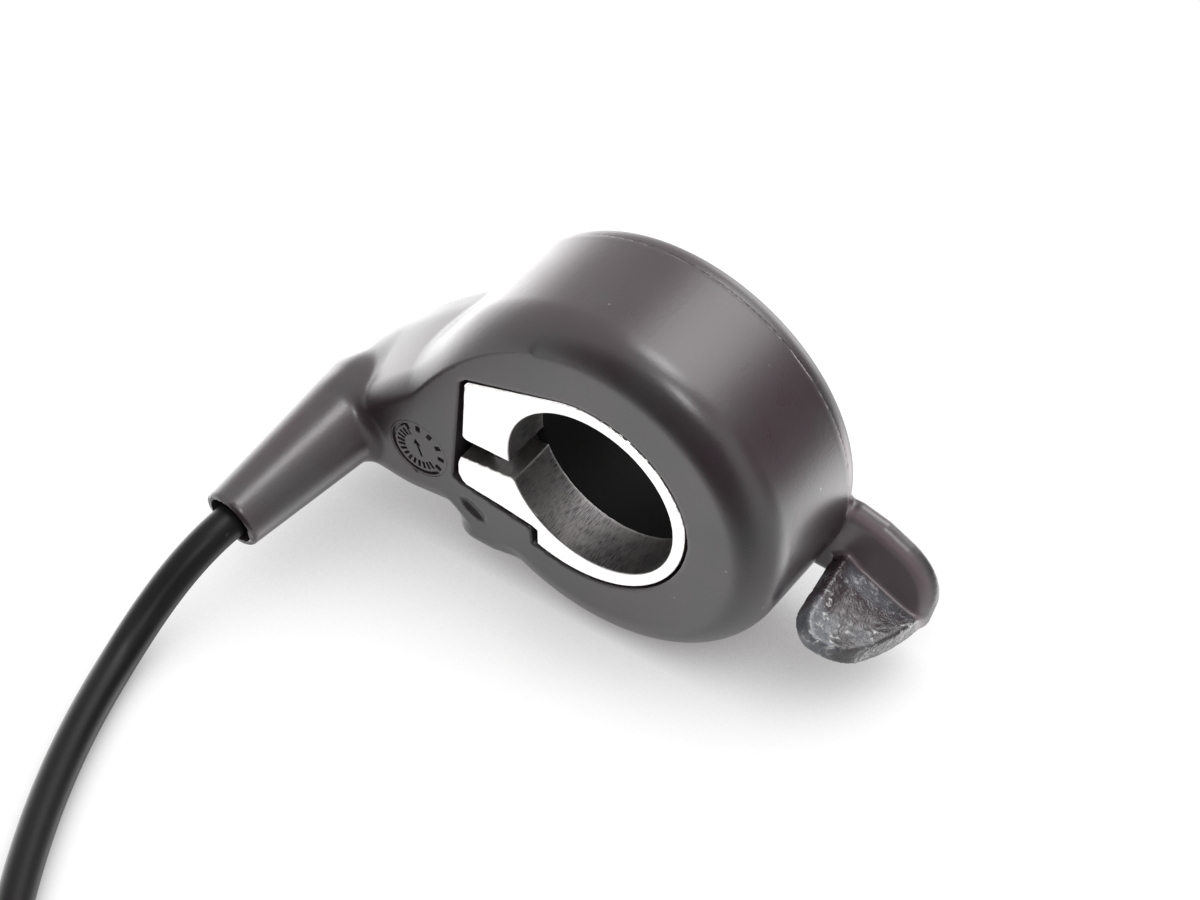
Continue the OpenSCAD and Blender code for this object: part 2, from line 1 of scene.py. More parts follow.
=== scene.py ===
"""Looks for the thumb throttle: moulded housing and lever, machined clamp, cable, plug and light.

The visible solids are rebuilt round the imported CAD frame. Each one is written as a distance
field in millimetres and meshed where the field is zero, so that its edges are rounded the way
a moulded or machined edge is. Small inner parts stay as the CAD nodes, with rounded edges.
Y runs along the handlebar from the clamp's face to the lever, X points to the lever, and Z is up.
"""
import itertools
import json
import math
import bpy
import numpy as np
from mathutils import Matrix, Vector


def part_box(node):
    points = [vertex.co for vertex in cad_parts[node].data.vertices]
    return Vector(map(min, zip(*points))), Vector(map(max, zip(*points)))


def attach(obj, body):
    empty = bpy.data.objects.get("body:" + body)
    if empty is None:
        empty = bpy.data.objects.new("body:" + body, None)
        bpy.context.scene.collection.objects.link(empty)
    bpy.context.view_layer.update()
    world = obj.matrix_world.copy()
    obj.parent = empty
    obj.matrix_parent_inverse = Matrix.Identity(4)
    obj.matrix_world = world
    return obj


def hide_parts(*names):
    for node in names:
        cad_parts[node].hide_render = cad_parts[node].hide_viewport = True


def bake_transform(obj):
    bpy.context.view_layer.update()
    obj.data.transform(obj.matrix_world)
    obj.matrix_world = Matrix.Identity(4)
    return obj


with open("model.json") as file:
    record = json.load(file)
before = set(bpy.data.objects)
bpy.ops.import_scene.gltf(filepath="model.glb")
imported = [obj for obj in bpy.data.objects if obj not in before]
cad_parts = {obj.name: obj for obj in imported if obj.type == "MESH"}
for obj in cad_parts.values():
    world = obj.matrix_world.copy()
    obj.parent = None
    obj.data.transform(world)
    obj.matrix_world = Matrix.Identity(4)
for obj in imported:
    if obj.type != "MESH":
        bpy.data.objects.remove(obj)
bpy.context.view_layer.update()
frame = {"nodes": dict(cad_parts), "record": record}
MM = 0.001                     # fields are in millimetres, meshes in metres


def box_mm(node):
    """Lowest and highest corner of a CAD node in millimetres."""
    return [np.array(corner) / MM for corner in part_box(node)]


# ---- dimensions
housing_low, housing_high = box_mm("housing")
clamp_high = box_mm("bar_clamp")[1]
washer_low, washer_high = box_mm("thrust_washer")
clip_low, clip_high = box_mm("retaining_clip")
cover_low, cover_high = box_mm("neck_cover")
lever_low = box_mm("lever")[0]
screw_low, screw_high = box_mm("clamp_screw")

BORE_R = frame["record"]["mounts"][0]["dims"]["r_mm"]
DRUM_R = -housing_low[2]
JOURNAL_END = housing_high[1]
CLAMP_DEPTH = clamp_high[1]
CLAMP_R = BORE_R + 1.84        # the bore and the ring's wall
NECK_DEPTH = cover_high[1]
COVER_SEAT = cover_low[1]
DISC_BACK = washer_low[1]
CLIP_Y = clip_low[1]
CLIP_END = clip_high[1]
BENCH_Z = housing_low[2]
SLOTS = {part["node"]: part["material_slot"] for part in frame["record"]["subparts"]}
SCREW_X = (screw_low[0] + screw_high[0]) / 2
SCREW_Y = (screw_low[1] + screw_high[1]) / 2

FIT = 0.1                      # gap between pieces that seat on each other
DISC_Y = DISC_BACK - 2.8       # front of the lever's disc
DRUM_DEPTH = DISC_Y - 0.25     # the drum's rim, a running gap in front of the disc
SHOULDER_R = 4.75              # rounding between the drum's face and its wall
CHAMBER_Y = CLAMP_DEPTH + 1.7  # front of the spring chamber, behind the partition
CHAMBER_R = DRUM_R - 1.8
JOURNAL_R = 13.2
JOURNAL_BORE_R = 11.6
DISC_R = 22.9
HUB_R = 17.2
HUB_Y = 13.0                   # front of the lever's hub
SPRING_R = 14.9                # the coil's mean radius
SPRING_TURNS = 2
SPRING_START, SPRING_END = 60, 80  # places of the spring's legs, in degrees up from +X
SPRING_HOLE_R = 0.7
WIRE_R = 0.5
REST_ANGLE = 25.5              # the pad points this far below +X at rest
NECK_END = (-35.2, -10.6)
NOZZLE_DIR = np.array([-0.143, -0.986, -0.092])
NOZZLE_DIR /= np.linalg.norm(NOZZLE_DIR)
NOZZLE_TIP = np.array([-37.9, -17.4, -13.0])
NOZZLE_LENGTH = 21.7
NOZZLE_ROOT = NOZZLE_TIP - NOZZLE_LENGTH * NOZZLE_DIR
NOZZLE_TIP_R = 3.8
NOZZLE_TAPER = 0.083           # growth of the nozzle's radius per millimetre
NOZZLE_LIFT = np.array([-0.3, 0, 1.1])  # how far its outside rises at its root
CABLE_R = 2.1
HEAD_WAY_R = 2.9               # way for the clamp screw's head and its key
SENSOR_ANGLE = 190             # place of the sensor round the drum
SENSOR_R = CHAMBER_R + 0.8
CARRIER_ANGLE = 220            # middle of the lever's magnet carrier
CARRIER_HALF = 31              # half of the angle that the carrier spans
LEVER_TRAVEL = 60
COVER_SCREWS = ((-26.2, -12.1, 1.5), (-32.4, -4.6, 5))  # x, z and the start of the post along Y


# ---- distance fields
def round_meet(a, b, r):
    """What lies in both a and b, with the edge between them rounded by r."""
    return np.minimum(-r, np.maximum(a, b)) + np.hypot(np.maximum(a + r, 0), np.maximum(b + r, 0))


def round_join(a, b, r):
    """What lies in a or b, with a fillet of radius r between them."""
    return np.maximum(r, np.minimum(a, b)) - np.hypot(np.maximum(r - a, 0), np.maximum(r - b, 0))


def cut(a, b, r=0.15):
    """a without b, with the edge of the cut rounded by r."""
    return round_meet(a, -b, r)


def ramp(t, blend=1.4):
    """t where t is positive and 0 elsewhere, turning smoothly between the two."""
    return (t + np.sqrt(t * t + blend)) / 2


def smooth(low, high, t):
    """0 below low and 1 above high, with a smooth step between."""
    share = np.clip((t - low) / (high - low), 0, 1)
    return share * share * (3 - 2 * share)


both = np.maximum              # what lies in both fields, with a sharp edge
either = np.minimum            # what lies in one or the other


def unit(v):
    return np.array(v, float) / np.linalg.norm(v)


def band(t, low, high):
    return np.maximum(low - t, t - high)


def polar(r, degrees):
    return r * math.cos(math.radians(degrees)), r * math.sin(math.radians(degrees))


def arc(centre, r, start, end, count):
    """Points on an arc, with its angles in degrees."""
    spokes = [polar(r, angle) for angle in np.linspace(start, end, count)]
    return [(centre[0] + u, centre[1] + v) for u, v in spokes]


def polygon(u, v, points):
    """Signed distance to a closed outline."""
    nearest = np.full(u.shape, np.inf)
    inside = np.zeros(u.shape, bool)
    for (u0, v0), (u1, v1) in zip(points, points[1:] + points[:1]):
        du, dv = u1 - u0, v1 - v0
        along = np.clip(((u - u0) * du + (v - v0) * dv) / (du * du + dv * dv), 0, 1)
        nearest = np.minimum(nearest, (u - u0 - along * du) ** 2 + (v - v0 - along * dv) ** 2)
        if dv:
            crosses = (v0 > v) != (v1 > v)
            inside ^= crosses & (u < (v - v0) * du / dv + u0)
    return np.sqrt(nearest) * np.where(inside, -1, 1)


def inset(points, r):
    """The outline moved inwards by r, for a polygon that is then grown again to round its corners."""
    ring = np.array(points, float)
    area = np.sum(ring[:, 0] * np.roll(ring[:, 1], -1) - ring[:, 1] * np.roll(ring[:, 0], -1))
    edge = np.roll(ring, -1, axis=0) - ring
    edge /= np.linalg.norm(edge, axis=1)[:, None]
    inward = np.stack([-edge[:, 1], edge[:, 0]], axis=1) * np.sign(area)
    before = np.roll(inward, 1, axis=0)
    corner = (inward + before) / (1 + np.sum(inward * before, axis=1))[:, None]
    return [tuple(p) for p in ring + r * corner]


def rounded_polygon(u, v, points, r):
    return polygon(u, v, inset(points, r)) - r


def about(x, y, z, origin, direction):
    """Distance along an axis from its origin, and distance from that axis."""
    along = (x - origin[0]) * direction[0] + (y - origin[1]) * direction[1] + (z - origin[2]) * direction[2]
    square = (x - origin[0]) ** 2 + (y - origin[1]) ** 2 + (z - origin[2]) ** 2
    return along, np.sqrt(np.maximum(square - along * along, 0))


def turned(x, z, degrees):
    """Place along and across a radius in the X-Z plane, at an angle up from +X."""
    c, s = polar(1, degrees)
    return x * c + z * s, z * c - x * s


def sector(x, z, middle, half):
    """Negative between two angles about the handlebar's axis."""
    along, across = turned(x, z, middle)
    c, s = polar(1, half)
    return np.abs(across) * c - along * s


# ---- meshing
def gradient(field, points, h):
    """Unit normals of a field at some points, from four samples round each."""
    total = np.zeros_like(points)
    for k in ((1, -1, -1), (-1, -1, 1), (-1, 1, -1), (1, 1, 1)):
        k = np.array(k, float)
        total += k * field(*(points + h * k).T)[:, None]
    return total / np.maximum(np.linalg.norm(total, axis=1), 1e-12)[:, None]


def near_surface(field, low, cell, blocks, step):
    """Field values on the corners of a grid, worked out only in blocks that the surface may cross."""
    coarse = [low[a] + cell * step * np.arange(blocks[a] + 1) for a in range(3)]
    grid = np.stack(np.meshgrid(*coarse, indexing="ij"), -1).reshape(-1, 3)
    rough = field(*grid.T).reshape([b + 1 for b in blocks])
    near = np.abs(rough) < step * cell * 1.35
    fine = np.zeros(blocks, bool)
    for i, j, k in itertools.product((0, 1), repeat=3):
        fine |= near[i:i + blocks[0], j:j + blocks[1], k:k + blocks[2]]
    values = rough[:-1, :-1, :-1]
    for a in range(3):
        fine = np.repeat(fine, step, axis=a)
        values = np.repeat(values, step, axis=a)
    wanted = np.zeros([n + 1 for n in fine.shape], bool)
    for i, j, k in itertools.product((0, 1), repeat=3):
        wanted[i:i + fine.shape[0], j:j + fine.shape[1], k:k + fine.shape[2]] |= fine
    values = np.pad(values, ((0, 1),) * 3, mode="edge")
    places = np.argwhere(wanted)
    values[wanted] = field(*(low + cell * places).T)
    return values, wanted


def surface_points(field, values, wanted, low, cell):
    """Where the surface crosses each edge of the grid: the edge, its axis, the point and its sense."""
    found = []
    for axis in range(3):
        first = [slice(None)] * 3
        last = [slice(None)] * 3
        first[axis], last[axis] = slice(None, -1), slice(1, None)
        first, last = tuple(first), tuple(last)
        crossed = ((values[first] < 0) != (values[last] < 0)) & wanted[first] & wanted[last]
        corner = np.argwhere(crossed)
        near, far = values[first][crossed], values[last][crossed]
        step = np.zeros(3)
        step[axis] = cell
        start = low + cell * corner
        t0, t1 = np.zeros(len(corner)), np.ones(len(corner))
        f0, f1 = near.copy(), far.copy()
        for _ in range(3):
            t = np.clip(t0 - f0 * (t1 - t0) / (f1 - f0), 0, 1)
            value = field(*(start + t[:, None] * step).T)
            low_side = (value < 0) == (f0 < 0)
            t0, f0 = np.where(low_side, t, t0), np.where(low_side, value, f0)
            t1, f1 = np.where(low_side, t1, t), np.where(low_side, f1, value)
        t = np.clip(t0 - f0 * (t1 - t0) / np.where(f1 == f0, 1, f1 - f0), 0, 1)
        found.append((axis, corner, start + t[:, None] * step, near < 0))
    return found


def dual_mesh(field, low, high, cell):
    """Vertices and quads of a closed surface, with one vertex in each grid cell that it crosses,
    placed where the surface's tangent planes in that cell meet, so that creases stay crisp."""
    step = 4
    low = np.array(low, float) - 1.37 * cell
    blocks = [int(math.ceil((high[a] - low[a]) / cell / step)) + 1 for a in range(3)]
    values, wanted = near_surface(field, low, cell, blocks, step)
    shape = values.shape
    cells, points, normals, senses = [], [], [], []
    for axis, corner, point, leaves in surface_points(field, values, wanted, low, cell):
        b, c = np.zeros(3, int), np.zeros(3, int)
        b[(axis + 1) % 3], c[(axis + 2) % 3] = 1, 1
        round_edge = np.stack([corner, corner - b, corner - b - c, corner - c], 1)
        cells.append(np.ravel_multi_index(round_edge.reshape(-1, 3).T, shape).reshape(-1, 4))
        points.append(point)
        normals.append(gradient(field, point, 0.04 * cell))
        senses.append(leaves)
    cells, points = np.concatenate(cells), np.concatenate(points)
    normals, senses = np.concatenate(normals), np.concatenate(senses)
    used, quads = np.unique(cells.ravel(), return_inverse=True)
    quads = quads.reshape(-1, 4)
    count = len(used)

    def gather(weight):
        return sum(np.bincount(quads[:, k], weight, count) for k in range(4))

    share = gather(np.ones(len(points)))
    middle = np.stack([gather(points[:, a]) / share for a in range(3)], 1)
    offset = np.sum(normals * points, axis=1)
    matrix = np.empty((count, 3, 3))
    for a in range(3):
        for b in range(3):
            matrix[:, a, b] = gather(normals[:, a] * normals[:, b])
    side = np.stack([gather(normals[:, a] * offset) for a in range(3)], 1)
    pull = 0.03 * share
    matrix += pull[:, None, None] * np.eye(3)
    vertices = np.linalg.solve(matrix, (side + pull[:, None] * middle)[:, :, None])[:, :, 0]
    floor = low + cell * np.stack(np.unravel_index(used, shape), 1)
    vertices = np.clip(vertices, floor + 0.02 * cell, floor + 0.98 * cell)
    quads[~senses] = quads[~senses][:, ::-1]
    return vertices, quads


scene = bpy.context.scene
CREASE = 42                    # edges above this angle in degrees stay crisp
SWEPT_CREASE = 50


def add_object(name, data):
    item = bpy.data.objects.new(name, data)
    scene.collection.objects.link(item)
    return item


def new_piece(name, vertices, faces, slot, crease=CREASE):
    """A smooth-shaded object from points in millimetres."""
    mesh = bpy.data.meshes.new(name)
    mesh.from_pydata(vertices * MM, [], faces)
    mesh.validate()
    mesh.shade_smooth()
    mesh.set_sharp_from_angle(angle=math.radians(crease))
    mesh.materials.append(FINISHES[slot])
    piece = add_object(name, mesh)
    return piece


def riding_piece(name, node, body, vertices, faces, crease):
    """A piece that rides on a body and stands for a CAD node, with that node's finish."""
    piece = new_piece(name, vertices, faces, SLOTS[node], crease)
    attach(piece, body)
    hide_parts(node)


def meshed(field, low, high, cell):
    vertices, quads = dual_mesh(field, low, high, cell * (1))
    return vertices, quads.tolist()


# ---- node materials
class Nodes:
    """Short calls for building a node tree."""

    def __init__(self, tree):
        self.tree = tree
        tree.nodes.clear()

    def add(self, kind, **settings):
        node = self.tree.nodes.new(kind)
        for key, value in settings.items():
            setattr(node, key, value)
        return node

    def put(self, socket, value):
        if isinstance(value, bpy.types.NodeSocket):
            self.tree.links.new(value, socket)
        elif value is not None:
            socket.default_value = value

    def math(self, operation, a, b=None, c=None):
        node = self.add("ShaderNodeMath", operation=operation)
        for socket, value in zip(node.inputs, (a, b, c)):
            self.put(socket, value)
        return node.outputs[0]

    def times(self, a, b):
        return self.math("MULTIPLY", a, b)

    def vector(self, operation, a, b=None):
        node = self.add("ShaderNodeVectorMath", operation=operation)
        self.put(node.inputs[0], a)
        self.put(node.inputs[1], b)
        return node.outputs["Value" if operation in ("DOT_PRODUCT", "LENGTH") else "Vector"]

    def split(self, vector):
        node = self.add("ShaderNodeSeparateXYZ")
        self.put(node.inputs[0], vector)
        return node.outputs

    def join(self, x, y, z):
        node = self.add("ShaderNodeCombineXYZ")
        for socket, value in zip(node.inputs, (x, y, z)):
            self.put(socket, value)
        return node.outputs[0]

    def place(self):
        return self.add("ShaderNodeTexCoord").outputs["Object"]

    def noise(self, where, scale, detail=3.0, rough=0.55, distort=0.0):
        node = self.add("ShaderNodeTexNoise")
        self.put(node.inputs["Vector"], where)
        settings = {"Scale": scale, "Detail": detail, "Roughness": rough, "Distortion": distort}
        for key, value in settings.items():
            node.inputs[key].default_value = value
        return node.outputs[0]

    def cells(self, where, scale):
        node = self.add("ShaderNodeTexVoronoi")
        self.put(node.inputs["Vector"], where)
        node.inputs["Scale"].default_value = scale
        return node.outputs["Distance"]

    def step(self, value, low, high, to_low=0.0, to_high=1.0):
        node = self.add("ShaderNodeMapRange", interpolation_type="SMOOTHSTEP")
        sockets = ("Value", "From Min", "From Max", "To Min", "To Max")
        for key, item in zip(sockets, (value, low, high, to_low, to_high)):
            self.put(node.inputs[key], item)
        return node.outputs[0]

    def mix(self, share, a, b):
        node = self.add("ShaderNodeMix", data_type="RGBA")
        self.put(node.inputs[0], share)
        for socket, value in ((node.inputs[6], a), (node.inputs[7], b)):
            self.put(socket, (*value, 1.0) if isinstance(value, tuple) and len(value) == 3 else value)
        return node.outputs[2]

    def bump(self, height, distance):
        node = self.add("ShaderNodeBump")
        node.inputs["Distance"].default_value = distance
        self.put(node.inputs["Height"], height)
        return node.outputs[0]


PURPLE_BLACK = (0.026, 0.0165, 0.021)
WORN_BLACK = (0.036, 0.0265, 0.03)
# painted shade: the near-black painted into the journal's deep bore
BORE_SHADE_BLACK = (0.004, 0.004, 0.004)
SCUFF_GREY = (0.12, 0.11, 0.11)
SPECK_GREY = (0.3, 0.29, 0.28)
# painted sheen: the lighter grey patched onto the pad's front for its glossy reflections
SHEEN_PAINT_GREY = (0.11, 0.115, 0.13)
# pale spots on the pad's front: partly pitted wear, partly painted glints
PITTED_AND_GLINT_GREY = (0.5, 0.5, 0.5)
# painted reflection: the web's front is given a lighter colour for the bright floor that it reflects
WEB_REFLECTION_DARK = (0.13, 0.1, 0.112)
WEB_REFLECTION_LIGHT = (0.16, 0.132, 0.142)
WEB_REFLECTION_X = 20.5                   # how far out along X the web's painted reflection starts
# painted shade in the clamp's bore, for the dark things it reflects, with streaks and stains
CLAMP_BORE_SHADE_DARK = (0.07, 0.065, 0.07)
CLAMP_BORE_SHADE_MID = (0.3, 0.29, 0.29)
CLAMP_BORE_SHADE_STAIN = (0.4, 0.38, 0.37)


def new_material(name, shader="ShaderNodeBsdfPrincipled"):
    material = bpy.data.materials.new(name)
    material.use_nodes = True
    nodes = Nodes(material.node_tree)
    surface = nodes.add(shader)
    nodes.put(nodes.add("ShaderNodeOutputMaterial").inputs["Surface"], surface.outputs[0])
    return material, nodes, surface


def pad_wear_and_sheen(nodes, where, cloud, front_y, colour, roughness, height):
    """The lever's worn front and its web: in front of front_y the plastic is glossy and coarsely pitted,
    with patches of painted sheen and pale marks that are partly wear and partly painted glints, and just
    behind it the web is painted lighter as a painted reflection of the bright floor."""
    x, y, _ = nodes.split(where)
    front = nodes.step(y, front_y * MM, (front_y - 0.6) * MM)
    outer = nodes.step(x, WEB_REFLECTION_X * MM, (WEB_REFLECTION_X + 2) * MM)
    roughness = nodes.math("MULTIPLY_ADD", front, -0.13, roughness)
    blotch = nodes.noise(where, 1100, 4, 0.7, 0.6)
    lumps = nodes.times(nodes.times(blotch, front), 14.0)
    # painted sheen: lighter grey patches on the pad's front
    painted_sheen = nodes.times(nodes.step(nodes.noise(where, 120, 2), 0.45, 0.6), front)
    colour = nodes.mix(nodes.times(painted_sheen, 0.8), colour, SHEEN_PAINT_GREY)
    # pale spots on the pad's front: partly pitted wear, partly painted glints
    pit_and_glint_patches = nodes.step(nodes.noise(where, 230, 2), 0.42, 0.6)
    pits_and_glints = nodes.times(nodes.step(blotch, 0.52, 0.66), pit_and_glint_patches)
    pits_and_glints = nodes.times(pits_and_glints, front)
    colour = nodes.mix(nodes.times(pits_and_glints, 0.85), colour, PITTED_AND_GLINT_GREY)
    # painted reflection: the web's front just behind the pad, out along X, is painted lighter
    web_reflection_mask = nodes.times(nodes.math("SUBTRACT", 1.0, front), outer)
    web_reflection_mask = nodes.times(web_reflection_mask, nodes.step(y, (front_y + 1.5) * MM, (front_y + 0.5) * MM))
    colour = nodes.mix(web_reflection_mask, colour, nodes.mix(cloud, WEB_REFLECTION_DARK, WEB_REFLECTION_LIGHT))
    return colour, roughness, nodes.math("ADD", height, lumps)


def painted_bore_shade(nodes, where, surface, colour, roughness):
    """The inside of the journal made matt and painted near-black: painted shade in the deep bore."""
    x, y, z = nodes.split(where)
    off = nodes.vector("LENGTH", nodes.join(x, 0.0, z))
    inside = nodes.step(off, (JOURNAL_R - 0.4) * MM, (JOURNAL_R - 0.7) * MM)
    behind = nodes.step(y, (CLAMP_DEPTH - 1) * MM, (CLAMP_DEPTH - 0.2) * MM)
    inside = nodes.times(inside, behind)
    nodes.put(surface.inputs["Specular IOR Level"], nodes.math("MULTIPLY_ADD", inside, -0.42, 0.5))
    return nodes.mix(inside, colour, BORE_SHADE_BLACK), nodes.math("MULTIPLY_ADD", inside, 0.4, roughness)


def plastic(name, dark, light, rough, grain=0.000012, front_y=None, bore_shade=False):
    """Satin moulded plastic: mottled colour, fine grain, hairline scuffs and pale specks.
    front_y adds the pad's wear, painted sheen and painted glints in front of that place along Y and the
    web's painted reflection just behind it, and the bore flag adds painted shade in the journal's bore."""
    material, nodes, surface = new_material(name)
    where = nodes.place()
    cloud = nodes.noise(where, 90, 4)
    fine = nodes.noise(where, 2600, 2, 0.6)
    pits = nodes.noise(where, 900, 3, 0.65)
    tone = nodes.noise(where, 55, 3, 0.6)
    stretched = nodes.vector("MULTIPLY", where, (1.0, 0.18, 1.0))
    hair = nodes.step(nodes.noise(stretched, 1500, 2, 0.5, 0.4), 0.66, 0.74)
    patch = nodes.step(nodes.noise(where, 130, 2), 0.52, 0.72)
    scuff = nodes.times(hair, patch)
    speck = nodes.step(nodes.cells(where, 420), 0.085, 0.05)
    pale = nodes.times(speck, nodes.step(nodes.noise(where, 300, 1), 0.6, 0.7))
    neutral = (sum(light) / 3,) * 3
    colour = nodes.mix(cloud, dark, light)
    colour = nodes.mix(nodes.step(tone, 0.42, 0.6, 0.0, 0.7), colour, neutral)
    colour = nodes.mix(nodes.times(scuff, 0.25), colour, SCUFF_GREY)
    colour = nodes.mix(nodes.times(pale, 0.5), colour, SPECK_GREY)
    roughness = nodes.math("MULTIPLY_ADD", cloud, 0.16, rough - 0.15)
    roughness = nodes.math("MULTIPLY_ADD", tone, 0.14, roughness)
    roughness = nodes.math("MULTIPLY_ADD", scuff, 0.15, roughness)
    height = nodes.math("MULTIPLY_ADD", pits, 0.6, fine)
    # the pad's wear with painted sheen, painted glints and the web's painted reflection
    if front_y is not None:
        colour, roughness, height = pad_wear_and_sheen(nodes, where, cloud, front_y, colour, roughness, height)
    # painted shade darkens the journal's bore
    if bore_shade:
        colour, roughness = painted_bore_shade(nodes, where, surface, colour, roughness)
    nodes.put(surface.inputs["Base Color"], colour)
    nodes.put(surface.inputs["Roughness"], roughness)
    nodes.put(surface.inputs["Normal"], nodes.bump(height, grain))
    surface.inputs["IOR"].default_value = 1.56
    return material


def turned_metal(name, tint, rough, marks=0.000004):
    """Bare machined metal with fine tool marks, and the bore painted darker, with streaks and stains, as
    painted shade for the dark things that the bore reflects.
    """
    material, nodes, surface = new_material(name)
    where = nodes.place()
    x, y, z = nodes.split(where)
    angle = nodes.math("ARCTAN2", z, x)
    streak = nodes.join(nodes.times(angle, 4.0), nodes.times(y, 30.0), 0.0)
    lines = nodes.noise(streak, 26, 4, 0.7)
    cloud = nodes.noise(where, 160, 3)
    fine = nodes.noise(where, 1800, 3, 0.6)
    colour = nodes.mix(nodes.step(lines, 0.3, 0.7), tuple(0.86 * c for c in tint), tint)
    off = nodes.vector("LENGTH", nodes.join(x, 0.0, z))
    # painted shade: the bore's colour is darkened for the dark things it reflects
    bore = nodes.step(off, (BORE_R + 0.12) * MM, (BORE_R + 0.04) * MM)
    stain = nodes.step(nodes.noise(where, 240, 4, 0.65, 0.5), 0.4, 0.62)
    bore_shade_colour = nodes.mix(nodes.step(lines, 0.35, 0.6), CLAMP_BORE_SHADE_DARK, CLAMP_BORE_SHADE_MID)
    bore_shade_colour = nodes.mix(nodes.times(stain, 0.45), bore_shade_colour, CLAMP_BORE_SHADE_STAIN)
    colour = nodes.mix(bore, colour, bore_shade_colour)
    roughness = nodes.math("MULTIPLY_ADD", cloud, 0.12, rough - 0.06)
    roughness = nodes.math("MULTIPLY_ADD", bore, 0.12, roughness)
    height = nodes.math("MULTIPLY_ADD", lines, 2.0, nodes.times(fine, 0.5))
    nodes.put(surface.inputs["Base Color"], colour)
    nodes.put(surface.inputs["Metallic"], 1.0)
    nodes.put(surface.inputs["Roughness"], roughness)
    nodes.put(surface.inputs["Normal"], nodes.bump(height, marks))
    return material


def plain_finish(name, tint, rough, metal=0.0, scale=700, spread=0.3):
    """A simple finish with mottled colour and roughness and a fine grain."""
    material, nodes, surface = new_material(name)
    where = nodes.place()
    cloud = nodes.noise(where, scale / 4, 3)
    fine = nodes.noise(where, scale * 3, 3, 0.6)
    dark = tuple(c * (1 - spread) for c in tint)
    nodes.put(surface.inputs["Base Color"], nodes.mix(cloud, dark, tint))
    nodes.put(surface.inputs["Metallic"], metal)
    nodes.put(surface.inputs["Roughness"], nodes.math("MULTIPLY_ADD", cloud, 0.2, rough - 0.1))
    nodes.put(surface.inputs["Normal"], nodes.bump(fine, 0.000006))
    return material


cable_pvc = plastic("cable_pvc", (0.0035, 0.003, 0.0035), (0.006, 0.0055, 0.006), 0.42, grain=0.000004)
cable_pvc.node_tree.nodes["Principled BSDF"].inputs["Specular IOR Level"].default_value = 0.12
FINISHES = {
    "housing_plastic": plastic("housing_plastic", PURPLE_BLACK, WORN_BLACK, 0.31, bore_shade=True),
    "lever_plastic": plastic("lever_plastic", PURPLE_BLACK, WORN_BLACK, 0.33, front_y=DISC_Y - 0.2),
    "clamp_aluminium": turned_metal("clamp_aluminium", (0.97, 0.95, 0.93), 0.3),
    "cable_pvc": cable_pvc,
    "plug_plastic": plastic("plug_plastic", (0.014, 0.013, 0.014), (0.024, 0.023, 0.024), 0.42)}
PLAIN_FINISHES = {             # colour, roughness, metal share, scale and spread
    "screw_steel": ((0.16, 0.16, 0.17), 0.4, 1.0),
    "spring_steel": ((0.55, 0.55, 0.57), 0.3, 1.0),
    "magnet_nickel": ((0.72, 0.7, 0.66), 0.2, 1.0),
    "washer_nylon": ((0.5, 0.48, 0.42), 0.45, 0.0, 300, 0.08),
    "board_laminate": ((0.02, 0.16, 0.07), 0.4, 0.0, 400),
    "capacitor_ceramic": ((0.55, 0.4, 0.25), 0.5),
    "sensor_resin": ((0.03, 0.03, 0.03), 0.55),
    "tinned_leads": ((0.72, 0.72, 0.74), 0.25, 1.0),
    "potting_resin": ((0.03, 0.03, 0.035), 0.2, 0.0, 200),
    "wire_red_pvc": ((0.6, 0.02, 0.02), 0.35, 0.0, 700, 0.15),
    "wire_black_pvc": ((0.02, 0.02, 0.02), 0.35),
    "wire_green_pvc": ((0.02, 0.35, 0.08), 0.35, 0.0, 700, 0.15),
    "insert_plastic": ((0.75, 0.6, 0.08), 0.4, 0.0, 700, 0.12),
    "pin_brass": ((0.83, 0.65, 0.3), 0.22, 1.0, 700, 0.12),
    "seal_rubber": ((0.05, 0.05, 0.05), 0.7)}
for name, settings in PLAIN_FINISHES.items():
    FINISHES[name] = plain_finish(name, *settings)


# ---- clamp
UPPER_EAR = [(-2, -1.2), (-4.4, 12.17), (-16.4, 7.85), (-16.95, 7.1), (-17.55, -1.4), (-17.1, -1.75)]
LOWER_EAR = [(-2, -3), (-5, -10.9), (-7.3, -10.7), (-8.1, -10.4), (-12.6, -9.8), (-17.2, -9.4),
             (-17.8, -9), (-18.35, -8), (-18.35, -6.5), (-17.9, -5.05)]
HEEL = [(-7.35, -20), (-7.35, -10.7), (-8.1, -10.4), (-12.6, -9.75), (-20, -9.2), (-20, -20)]
SPLIT = [(-2, -1.2), (-2, -3), (-20, -5.35), (-20, -1.95)]
POCKET = [(0, 0), (-4.4, 12.3), (-16.8, 8.05), (-17.6, 7.2), (-19.2, -9), (-18.2, -9.5), (-12.6, -10.4),
          (-8.3, -10.95), (-8.1, -13.4), (0, -13.9)]
POCKET_HEEL = [(-8.3, -20), (-8.1, -11.2), (-8.6, -10.9), (-12.6, -10.3), (-20, -9.6), (-20, -20)]
LOW_CENTRE = (-2.2, 1.1)       # centre of the wider arc round the ring's lower half
LOW_EXTRA = 1.99               # how much wider that arc is than the ring


def ring_outline(x, z, grow, low_grow):
    """The clamp's ring: an arc above, and a wider arc round its lower half."""
    low = np.hypot(x - LOW_CENTRE[0], z - LOW_CENTRE[1]) - CLAMP_R - LOW_EXTRA - low_grow
    return both(low, either(np.hypot(x, z) - CLAMP_R - grow, z))


